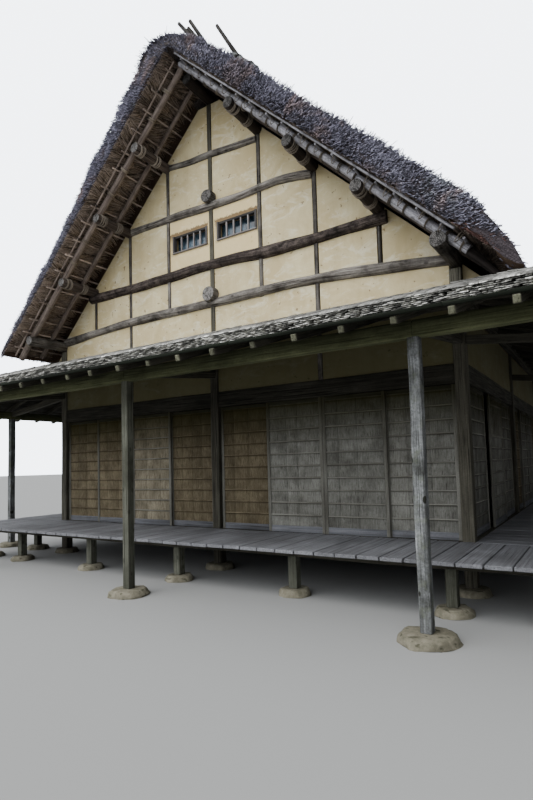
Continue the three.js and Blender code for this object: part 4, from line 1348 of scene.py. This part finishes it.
# The last colour is the painted shade and soot of the band under the low roof
for shade, mask, share in (((230, 226, 206), pale_clouds, 0.6), ((168, 150, 112), runs, 0.28),
                           ((184, 160, 118), net.between(grit, 0.4, 0.7), 0.25),
                           ((110, 84, 58), pits, 0.7),
                           ((232, 208, 156), net.between(mended, 0.02, -0.01), 0.6),
                           ((104, 78, 52), chipped, 0.85), ((60, 61, 38), under_roof_shade_and_soot, 0.88)):
    paint = net.cover(paint, shade, mask, share)
rise = net.sum("ADD", net.sum("MULTIPLY", grit, 0.12), net.noise(place, 5, 4, 0.55))
plaster = net.close(paint, 0.95, rise, 0.02, 0.45, gloss=0.2)

# %% Glass, and both finishes on their solids
net = Finish("old_glass")
place = net.place()
murk = net.between(net.noise(place, 9, 4, 0.6, 0.4), 0.35, 0.7)
glass = net.close(net.blend(murk, (26, 40, 52), (88, 114, 132)),
                  net.between(murk, 0, 1, 0.08, 0.3), net.noise(place, 6, 2), 0.01, 0.25)
for finish, names in ((plaster, ("front_gable_plaster", "back_gable_plaster",
                                 "left_wall_plaster", "right_wall_plaster")),
                      (glass, ("front_gable_glass", "back_gable_glass"))):
    for name in names:
        solids[name].data.materials.clear()
        solids[name].data.materials.append(finish)

# %% Boards of the inner floor
pile = Pile("front")
for x in np.arange(-3.44, 3.45, 0.215):
    for start, end in pairs((-5.35, -1.8, 1.7, 5.35)):
        add_beam(pile, (x, start + WALL_Y, 0.585), (x, end + WALL_Y, 0.585), 0.212, 0.03,
                 waver=0, tone=chance.uniform(0.7, 1.0))
for y in (-2 * KEN, 0, 2 * KEN):
    level_beam(pile, -3.5, 3.5, y + WALL_Y, 0.50, 0.12, 0.14)
    for x in (-KEN, 0, KEN):
        upright(pile, x, -y - WALL_Y, STONE_Z, JOIST_POST_TOP, side=0.115)
        add_stone(pile, x, y + WALL_Y, 0.18)
pile.piece("inner_floor_boards", [deck_wood, stone_finish], "deck", ["floor"], soft_angle=35)

# %% Plaster beside the corner posts
for side in GABLES:
    pile = Pile(side)
    share_x, share_y, share_z = (BOARD["co"] + 0.5).T
    x = 3.71 + 0.34 * share_x
    for sign in (-1, 1):
        pile.add(BOARD, rows_of(sign * x, 0.02 + 0.04 * share_y,
                                3.44 + (roof_z(7.46, x) - 3.44) * share_z))
    wing = pile.piece(f"{side}_corner_plaster", [plaster], "plaster", [])
    only(wing)
    pick(wing, "FACE", lambda points: True)
    bpy.ops.mesh.normals_make_consistent(inside=False)
    bpy.ops.object.mode_set(mode="OBJECT")

# %% Window bars and frames
SLOT_LOW, SLOT_HIGH = 5.04, 5.34
bar_wood = weathered("window_bar", (178, 174, 172), (131, 125, 123), (78, 72, 71), fine=60,
                     depth=0.001)
for side in GABLES:
    pile = Pile(side)

    def strip(x0, z0, x1, z1, wide, deep, y, tone):
        add_beam(pile, (x0, y, z0), (x1, y, z1), wide, deep, over=SIDEWAYS, waver=0,
                 chamfer=0.003, tone=tone)

    for low, high in ((-0.81, -0.08), (0.11, 0.86)):
        for x in (low + 0.018, high - 0.018):
            strip(x, SLOT_LOW, x, SLOT_HIGH, 0.036, 0.07, -0.022, 0.32)
        # The top strip is painted near black, for the shadow under the plaster lip
        for z, wide, deep, y, tone in ((SLOT_LOW + 0.012, 0.022, 0.085, -0.02, 0.75),
                                       (SLOT_HIGH - 0.015, 0.032, 0.06, -0.005, 0.2)):
            strip(low, z, high, z, wide, deep, y, tone)
        for x in np.linspace(low + 0.036, high - 0.036, 6)[1:-1]:
            strip(x, SLOT_LOW + 0.005, x, SLOT_HIGH - 0.005, 0.024, 0.03, -0.015,
                  chance.uniform(0.95, 1.15))
    pile.piece(f"{side}_window_bars", [bar_wood], "timber", [], soft_angle=35)

# %% [markdown]
# ## The body of the thatch
# A straw roof is a thick, soft slab whose surface bulges a little. Its section is drawn
# as a closed ring, extruded from gable to gable, cut into many slices, and pushed about
# by a cloud texture. The two slopes and the ridge cap are made in the same way. On the
# real roof the left slope has sunk more than the right, so each has its own section.
# Seen along the slope, straw lies in combed locks, so the top finish has long soft
# bands that darken, brighten and lift it.

# %% Straw finishes
def straw(name, pale, mid, dark, fine, long, moss=None, blush=None, combed=False, depth=0.01):
    """Straw: fine streaks along the reeds, with tone from each reed and patches of age."""
    net = Finish(name)
    place = net.place()
    grain, tone = net.grain_and_tone()
    lines = net.group("long_grain", Grain=grain, Fine=fine, Long=long)
    age = net.group("weather", Place=place, Broad=1.1)
    paint = net.blend(lines["Streak"], mid, pale)
    paint = net.cover(paint, dark, age["Patch"], 0.5)
    paint = net.cover(paint, dark, age["Fleck"], 0.45)
    if moss:
        green = net.between(net.noise(place, 0.9, 5, 0.7, 0.5), 0.56, 0.70)
        paint = net.cover(paint, moss, green, 0.55)
    if blush:
        worn = net.between(net.noise(place, 1.5, 5, 0.7, 0.7), 0.54, 0.64)
        paint = net.cover(paint, blush, worn, 0.65)
    rise = net.sum("ADD", lines["Height"], age["Fleck"])
    if combed:
        locks = net.noise(net.stretch(grain, (0.8, 5.5, 0.8)), 1.0, 7, 0.72, 0.35)
        tone = net.sum("MULTIPLY", tone, net.between(locks, 0.36, 0.64, 0.58, 1.42))
        rise = net.sum("MULTIPLY_ADD", locks, 6.0, rise)
    roughness = net.between(lines["Streak"], 0, 1, 0.98, 0.8)
    return net.close(paint, roughness, rise, depth, 0.8, gloss=0.15, tone=tone)


straw_top = straw("weathered_straw", (152, 143, 140), (104, 96, 94), (58, 51, 52), 45, 2.5,
                  moss=(92, 96, 66), blush=(134, 120, 108), combed=True, depth=0.03)
straw_deep = straw("shaded_straw", (104, 96, 100), (66, 59, 63), (34, 29, 32), 45, 2.5,
                   depth=0.03)
straw_under = straw("smoked_straw", (140, 116, 98), (104, 84, 70), (62, 48, 40), 60, 2.0,
                    depth=0.02)
# The cut reeds' grey is tinted blue, a painted cast of the sky light
reed_tip = straw("cut_reed", (190, 188, 206), (133, 131, 148), (60, 58, 71), 80, 4.0,
                 moss=(96, 112, 92), blush=(168, 145, 138))
reed_rust = straw("trimmed_reed", (140, 106, 98), (104, 77, 72), (60, 43, 40), 80, 4.0)
reed_brown = straw("laid_reed", (195, 179, 165), (145, 129, 117), (76, 63, 56), 80, 3.0)

# %% Sections of the roof
VERGE, TIPS_END = 6.40, 6.42
UNDERSIDE = 7.665


def outer_line(x, side):
    """The line z + 0.97 * x of the straw's outer face, x metres from the ridge."""
    x = np.minimum(x, 4.0)
    if side < 0:
        line = np.interp(x, [0, 0.3, 0.7, 1.0, 1.8, 2.1, 2.5, 3.3, 3.9],
                         [7.82, 8.10, 8.20, 8.20, 8.12, 8.01, 7.93, 7.90, 7.84])
        return line + 0.022 * np.sin(8.5 * x) + 0.012 * np.sin(19 * x + 1)
    return np.interp(x, [0, 0.1, 0.3, 0.5, 1.4, 2.2, 3.0, 4.0],
                     [7.82, 7.86, 7.98, 8.05, 8.10, 8.06, 8.09, 8.07])


# For each slope: the rounded lower edge of its section, where its straight outside ends
# and its underside begins, its lowest reeds, and the line that cut eave ends grow from
EAVES = {
    1: {"corner": [(4.12, 4.02), (4.24, 3.86), (4.33, 3.70), (4.40, 3.56), (4.46, 3.42),
                   (4.47, 3.36), (4.40, 3.385), (4.30, 3.47), (4.21, 3.57)],
        "outside": 4.0, "inside": 4.12, "edge": 4.05, "drop": 1.25, "tip": 4.46, "low": 3.40,
        "rim": ([4.02, 4.26, 4.42, 4.44, 4.22], [4.16, 3.80, 3.48, 3.40, 3.53]),
        "lip": 4.1, "top": 4.05, "laid": 4.2},
    -1: {"corner": [(3.90, 4.02), (4.00, 3.93), (4.09, 3.86), (4.16, 3.79), (4.20, 3.72),
                    (4.19, 3.665), (4.13, 3.655), (4.08, 3.68)],
         "outside": 3.8, "inside": 4.05, "edge": 3.86, "drop": 0.95, "tip": 4.19, "low": 3.66,
         "rim": ([3.82, 4.02, 4.15, 4.18, 4.08], [4.12, 3.90, 3.78, 3.69, 3.69]),
         "lip": 3.88, "top": 3.88, "laid": 4.06},
}


def slope_section(side):
    """The closed ring of one slope in x and z, down the outside and up the inside."""
    eave = EAVES[side]
    outside = [(x, outer_line(x, side) - PITCH * x) for x in np.arange(0.18, 4.0, 0.11)
               if x < eave["outside"]]
    inside = [(x, 7.70 - PITCH * x) for x in np.arange(eave["inside"], 0.1, -0.13)]
    return [(side * x, z) for x, z in outside + eave["corner"] + inside]


def loft_straw(name, section, slices, bulge):
    """A ring extruded along y, sliced, closed at its ends and pushed about by a cloud."""
    alone()
    bpy.ops.mesh.primitive_circle_add(vertices=len(section), radius=1)
    piece = bpy.context.object
    piece.name = name
    mesh = piece.data
    for vertex, (x, z) in zip(mesh.vertices, section):
        vertex.co = (x, -VERGE, z)
    pick(piece, "EDGE", lambda points: True)
    bpy.ops.mesh.extrude_region_move(TRANSFORM_OT_translate={"value": (0, 2 * VERGE, 0)})
    pick(piece, "EDGE", lambda points: abs(points[0].y - points[1].y) > 1)
    bpy.ops.mesh.subdivide(number_cuts=slices)
    for end in (-1, 1):
        pick(piece, "EDGE", lambda points: all(abs(p.y - end * VERGE) < 1e-3 for p in points))
        bpy.ops.mesh.edge_face_add()
    bpy.ops.mesh.select_all(action="SELECT")
    bpy.ops.mesh.normals_make_consistent(inside=False)
    bpy.ops.object.mode_set(mode="OBJECT")
    for cloud_size, strength in ((0.9, bulge), (0.25, bulge * 0.5)):
        cloud = bpy.data.textures.new("straw_cloud", "CLOUDS")
        cloud.noise_scale = cloud_size
        cloud.noise_depth = 3
        push = piece.modifiers.new("push", "DISPLACE")
        push.texture = cloud
        push.texture_coords = "LOCAL"
        push.strength = strength
        push.mid_level = 0.62
        bpy.ops.object.modifier_apply(modifier="push")
    mesh = piece.data
    co = np.array([v.co for v in mesh.vertices])
    line = co[:, 2] + PITCH * np.abs(co[:, 0])
    # The gable faces are undercut the other way: the underside stands further out
    undercut = np.clip((8.08 - line) / 0.4, 0, 1) * 0.06
    for vertex, shift, at in zip(mesh.vertices, undercut, co[:, 1]):
        if abs(at) > VERGE - 0.1:
            vertex.co.y += math.copysign(shift, at)
    keep(mesh, "grain", "FLOAT_VECTOR", rows_of(np.abs(co[:, 0]) * 1.39, co[:, 1], line))
    keep(mesh, "tone", "FLOAT", np.full(len(co), 0.85))
    return piece


STRAWS = [straw_top, straw_under, straw_deep]
for name, side in SLOPES:
    body = loft_straw(f"{name}_straw_body", slope_section(side), 90, 0.07)
    for face in body.data.polygons:
        middle = face.center
        if middle.z + PITCH * abs(middle.x) < 7.78 and face.normal.z < 0.1:
            face.material_index = 1
        elif abs(face.normal.y) > 0.6:
            face.material_index = 2
    finish_piece(body, STRAWS, [f"thatch_{name}"], soft_angle=60)

CAP_TOP = [(-0.66, 7.54), (-0.63, 7.67), (-0.56, 7.79), (-0.44, 7.88), (-0.29, 7.93),
           (-0.12, 7.91), (0.0, 7.86), (0.15, 7.79), (0.30, 7.70), (0.46, 7.59), (0.62, 7.46)]
CAP_FOOT = [(0.60, 7.40), (0.45, 7.40), (0.30, 7.40), (0.15, 7.55), (0.0, 7.675), (-0.15, 7.55),
            (-0.30, 7.40), (-0.45, 7.42)]
ridge = loft_straw("ridge_straw_cap", (CAP_TOP + CAP_FOOT)[::-1], 90, 0.05)
finish_piece(ridge, [straw_top], ["thatch_ridge"], soft_angle=60)

# %% [markdown]
# ## Reeds
# What makes thatch read as thatch is its cut ends. A reed is a three-sided straw that
# narrows to its tip. Thousands of them stand on the surface: pointing out of the gable
# edge, lying down the slopes, and laid across under the overhang. Their roots, leans
# and tones come from a seeded chance, so every run gives the same roof.

# %% Reed pattern
alone()
bpy.ops.mesh.primitive_cylinder_add(vertices=3, radius=1, depth=1, rotation=(0, math.pi / 2, 0))
piece = lie_down(bpy.context.object)
pick(piece, "FACE", lambda points: all(p.x > 0.49 for p in points))
bpy.ops.transform.resize(value=(1, 0.55, 0.55))
REED = take(piece)
REED["co"][:, 0] += 0.5


def add_reeds(pile, root, aim, long, thick, tone, finish=0):
    """Many reeds at once, from root points, towards aim."""
    aim = unit(aim)
    helper = np.where(np.abs(aim[:, 2:]) > 0.8, np.array([[1.0, 0, 0]]), np.array([[0, 0, 1.0]]))
    across = unit(np.cross(helper, aim))
    x, y, z = REED["co"].T[:, None]
    co = rows_of(x * long[:, None], y * thick[:, None], z * thick[:, None])
    rows = np.stack([aim, across, np.cross(aim, across)], 1)
    grain = co + chance.uniform(-9, 9, (len(root), 1, 3))
    pile.add(REED, root[:, None] + co @ rows, grain, tone, finish)


def slope_rows(side, x, y, line):
    """Points of a slope, from how far they are from the ridge and the line they lie on."""
    return rows_of(side * x, y, line - PITCH * x)


def patchy(a, b, scale):
    """A smooth random field, -1 to 1, for places a and b."""
    turns = np.random.default_rng(7).uniform(0, TURN, 6)
    return (np.sin(a * scale + turns[0] + 1.3 * np.sin(b * scale * 0.7 + turns[1]))
            + np.sin(b * scale * 1.3 + turns[2] + np.sin(a * scale * 0.9 + turns[3]))
            + np.sin((a + b) * scale * 2.1 + turns[4])) / 3


# %% Cut ends on the gable edges
def edge_reeds(pile, side, end, count):
    """The cut face of the edge: reeds that point out and down, painted darker towards the inside,
    as shade.
    """
    eave = EAVES[side]
    even, bell, _ = chances(count)
    depth, x = even(0, 1), even(0.0, 4.30)
    high = outer_line(x, side) + 0.015
    line = UNDERSIDE + (high - UNDERSIDE) * depth
    root = slope_rows(side, x, end * (VERGE + 0.055 * (1 - depth)), line)
    trimmed = 4.02 - (x - eave["edge"]) * eave["drop"]
    kept = (x < eave["edge"]) | ((root[:, 2] < trimmed) & (root[:, 2] > eave["low"])
                                 & (x < eave["tip"]))
    root, depth, x, high, trimmed = (values[kept] for values in (root, depth, x, high, trimmed))
    even, bell, _ = chances(len(x))
    clump = patchy(x, depth * 0.4, 9)
    aim = rows_of(side * (0.85 + 0.2 * depth) + bell(0, 0.34), end * even(0.2, 0.8),
                  -0.40 + 0.3 * depth + bell(0, 0.36))
    long = 0.036 + 0.016 * clump + np.abs(bell(0, 0.012))
    long = np.where(even(0, 1) < 0.01, long + even(0.02, 0.07), long)
    thick = even(0.0038, 0.0072)
    tone = np.where(even(0, 1) < 0.38, even(1.4, 2.2), even(0.22, 0.8))
    # Painted shade and highlights: darker towards the underside, lighter towards the ridge
    tone = (tone + 0.35 * clump) * (0.62 + 0.46 * depth) * np.interp(x, [0, 2.0, 3.2],
                                                                     [1.3, 1.2, 0.94])
    root[:, 1] -= end * 0.02
    inner = UNDERSIDE - PITCH * x
    outer = np.where(x < eave["edge"], high - PITCH * x, trimmed)
    rust = x - 3.82 > 0.54 * (root[:, 2] - inner) / (outer - inner) + bell(0, 0.06)
    aim = np.where(rust[:, None], aim * (0.4, 0.5, 0.6) + (side * 0.5, 0, -0.55), aim)
    tone = np.where(rust, np.clip(tone, 0.6, 1.2), np.clip(tone, 0.25, 1.9))
    for chosen, finish, slim in ((~rust, 0, 1), (rust, 1, 0.8)):
        add_reeds(pile, root[chosen], aim[chosen], long[chosen] + 0.02, thick[chosen] * slim,
                  tone[chosen], finish)


def lip_reeds(pile, side, end, count):
    """The outer lip of the edge, where tips lean out over the slope."""
    even, bell, tail = chances(count)
    x = even(0.0, EAVES[side]["lip"])
    back = np.abs(bell(0, 0.12))
    root = slope_rows(side, x, end * (VERGE - back), even(-0.07, -0.01) + outer_line(x, side))
    aim = rows_of(side * bell(0.85, 0.3), end * bell(0.5, 0.35), bell(0.0, 0.3))
    add_reeds(pile, root, aim, 0.032 + np.abs(bell(0, 0.016)), even(0.006, 0.010),
              np.clip(0.55 + tail(0.3), 0.3, 1.9))


# The front shows every reed, so it has more of them than the back
EDGE_REEDS = {"front": (9200, 2200), "back": (2600, 900)}
for end, end_name in ENDS:
    for name, side in SLOPES:
        pile = Pile()
        edge_reeds(pile, side, end, EDGE_REEDS[end_name][0])
        lip_reeds(pile, side, end, EDGE_REEDS[end_name][1])
        pile.piece(f"{name}_{end_name}_reed_edge", [reed_tip, reed_rust], "thatch",
                   [f"thatch_{name}"])

# %% Reeds on the slopes
SLOPE_REEDS, EAVE_REEDS, RIDGE_REEDS, CAP_END_REEDS = 4800, 1800, 3200, 750
for name, side in SLOPES:
    pile = Pile()
    even, bell, tail = chances(SLOPE_REEDS)
    x, y = even(0.25, EAVES[side]["top"]), even(-TIPS_END, TIPS_END)
    root = slope_rows(side, x, y, outer_line(x, side) - 0.045)
    aim = rows_of(side * bell(0.82, 0.15), bell(0, 0.22), bell(-0.36, 0.2))
    clump = patchy(x * 0.8, y * 0.8, 3.0)
    add_reeds(pile, root, aim, 0.085 + 0.04 * np.abs(clump) + tail(0.015), even(0.0075, 0.0125),
              np.clip(0.50 + 0.2 * clump + tail(0.13), 0.3, 1.2))
    # The trimmed eave: cut ends that look down and out
    even, bell, tail = chances(EAVE_REEDS)
    t, y = even(0, 1), even(-TIPS_END, TIPS_END)
    rim_x, rim_z = (np.interp(t, [0, 0.25, 0.6, 0.8, 1.0], stops) for stops in EAVES[side]["rim"])
    aim = rows_of(side * bell(0.85, 0.2), bell(0, 0.18),
                  np.interp(t, [0, 0.5, 1], [0.1, -0.5, -1.2]) + bell(0, 0.2))
    add_reeds(pile, rows_of(side * rim_x, y, rim_z), aim, 0.04 + np.abs(bell(0, 0.02)),
              even(0.006, 0.010), np.clip(0.5 + tail(0.25), 0.3, 1.6))
    pile.piece(f"{name}_slope_reeds", [reed_tip], "thatch", [f"thatch_{name}"])

# %% Reeds on the ridge
pile = Pile()
even, bell, tail = chances(RIDGE_REEDS)
outline = np.array(CAP_TOP)
steps = np.concatenate([[0], np.cumsum(np.linalg.norm(np.diff(outline, axis=0), axis=1))])
at = even(0, 1) * steps[-1]
x, z = (np.interp(at, steps, outline[:, i]) for i in (0, 1))
y = np.where(even(0, 1) < 0.35, np.sign(even(-1, 1)) * (VERGE - np.abs(bell(0, 0.05))),
             even(-TIPS_END, TIPS_END))
aim = rows_of(np.sign(x + 0.1) * np.abs(bell(0.6, 0.3)),
              np.where(np.abs(y) > 6.3, np.sign(y) * bell(0.7, 0.3), bell(0, 0.4)),
              bell(0.1, 0.3))
add_reeds(pile, rows_of(x * 0.94, y, z - 0.035), aim, 0.055 + tail(0.015), even(0.0045, 0.008),
          np.clip(0.55 + tail(0.28), 0.3, 1.8))
for end in (-1, 1):
    even, bell, tail = chances(CAP_END_REEDS)
    x = even(-0.63, 0.58)
    foot = np.maximum(UNDERSIDE - PITCH * np.abs(x), 7.3)
    z = foot + (np.interp(x, outline[:, 0], outline[:, 1]) - foot) * even(0, 1)
    aim = rows_of(bell(0, 0.3), end * 1.0, bell(0.1, 0.3))
    add_reeds(pile, rows_of(x, end * (VERGE - 0.01), z), aim, 0.045 + np.abs(bell(0, 0.015)),
              even(0.0045, 0.008), np.clip(0.55 + tail(0.28), 0.3, 1.8))
pile.piece("ridge_reeds", [reed_tip], "thatch", ["thatch_ridge"])

# %% Reeds laid across under the overhang
LAID_REEDS = {("front", "left"): 7600, ("front", "right"): 4000,
              ("back", "left"): 1200, ("back", "right"): 1200}
for end, end_name in ENDS:
    for name, side in SLOPES:
        pile = Pile()
        even, bell, _ = chances(LAID_REEDS[end_name, name])
        x, y = even(0.05, EAVES[side]["laid"]), even(5.50, TIPS_END)
        row = 0.5 + 0.5 * np.sin(x * 52 + 1.2 * np.sin(y * 4 + x * 2.1))
        root = slope_rows(side, x, end * y, 7.672 - 0.010 * row - even(0, 0.006))
        lean = 0.30 * np.sin(x * 11) + 0.12 * np.sin(y * 9) + bell(0, 0.06)
        aim = rows_of(side * lean, end * 1.0, -PITCH * lean - even(-0.01, 0.03))
        long = np.maximum(np.minimum(even(0.14, 0.34), 6.455 - y), 0.05)
        tone = 0.55 + 0.4 * row + np.where(even(0, 1) < 0.55, -0.35, 0.5) * even(0.4, 1.2)
        # Painted light and shade: the left laid reeds are lighter towards the eave, for the light
        # from the ground, the right ones darker, as shadow
        tone = tone * (np.interp(x, [0.5, 2.2, 3.4], [1.25, 1.65, 2.2]) if side < 0 else 0.55)
        add_reeds(pile, root, aim, long, even(0.0042, 0.0078), np.clip(tone, 0.2, 1.9))
        pile.piece(f"{name}_{end_name}_laid_reeds", [reed_brown], "thatch", [f"thatch_{name}"])

# %% [markdown]
# ## Poles left on the ridge
# Three thin poles stand out of the ridge and a fourth lies lower down. A short log is
# tied to a pole that is half buried in the slope. Without them the outline would be
# too tidy, so they are laid as round poles just behind the gable, on both ends.

# %% Sticks and a short log
STICK_Y, BURIED, RESTING = -0.79, 8.055, 8.14
STICKS = [((0.330, 7.740), (0.058, 8.124)), ((0.430, 7.655), (0.240, 7.960)),
          ((0.560, 7.545), (0.274, 8.055)), ((1.230, 6.895), (0.762, 7.742))]
for side in GABLES:
    pile = Pile(side)
    for low, high in STICKS:
        lay_log(pile, [(low[0], STICK_Y, low[1]), (high[0], STICK_Y, high[1] - 0.010)],
                (0.034, 0.027), POLE, over=SIDEWAYS, lumps=0.05, tone=0.35)
    lay_log(pile, [(x, STICK_Y, roof_z(BURIED, x)) for x in (0.27, 1.35)], 0.032, POLE,
            over=SIDEWAYS)
    lay_log(pile, [(x, STICK_Y, roof_z(RESTING, x)) for x in (1.03, 1.40)], (0.064, 0.058), STUB,
            over=SIDEWAYS, finish=1)
    for x in (1.12, 1.30):
        bind(pile, (x, STICK_Y, roof_z(RESTING, x)), (1, 0, -PITCH), (0.068, 0.068), finish=2,
             over=SIDEWAYS)
    pile.piece(f"{side}_ridge_sticks", [log_wood, post_wood, wire_dark], "log",
               [f"ridge_poles_{side}"], soft_angle=40)

# %% [markdown]
# ## Closing
# At the end, the triangles that were added are counted and the box round all that is shown is
# found. The dressed house has to stay inside the box of its solids.

# %% Sizes and finish
print("triangles added:", sum(tally))
low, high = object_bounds()
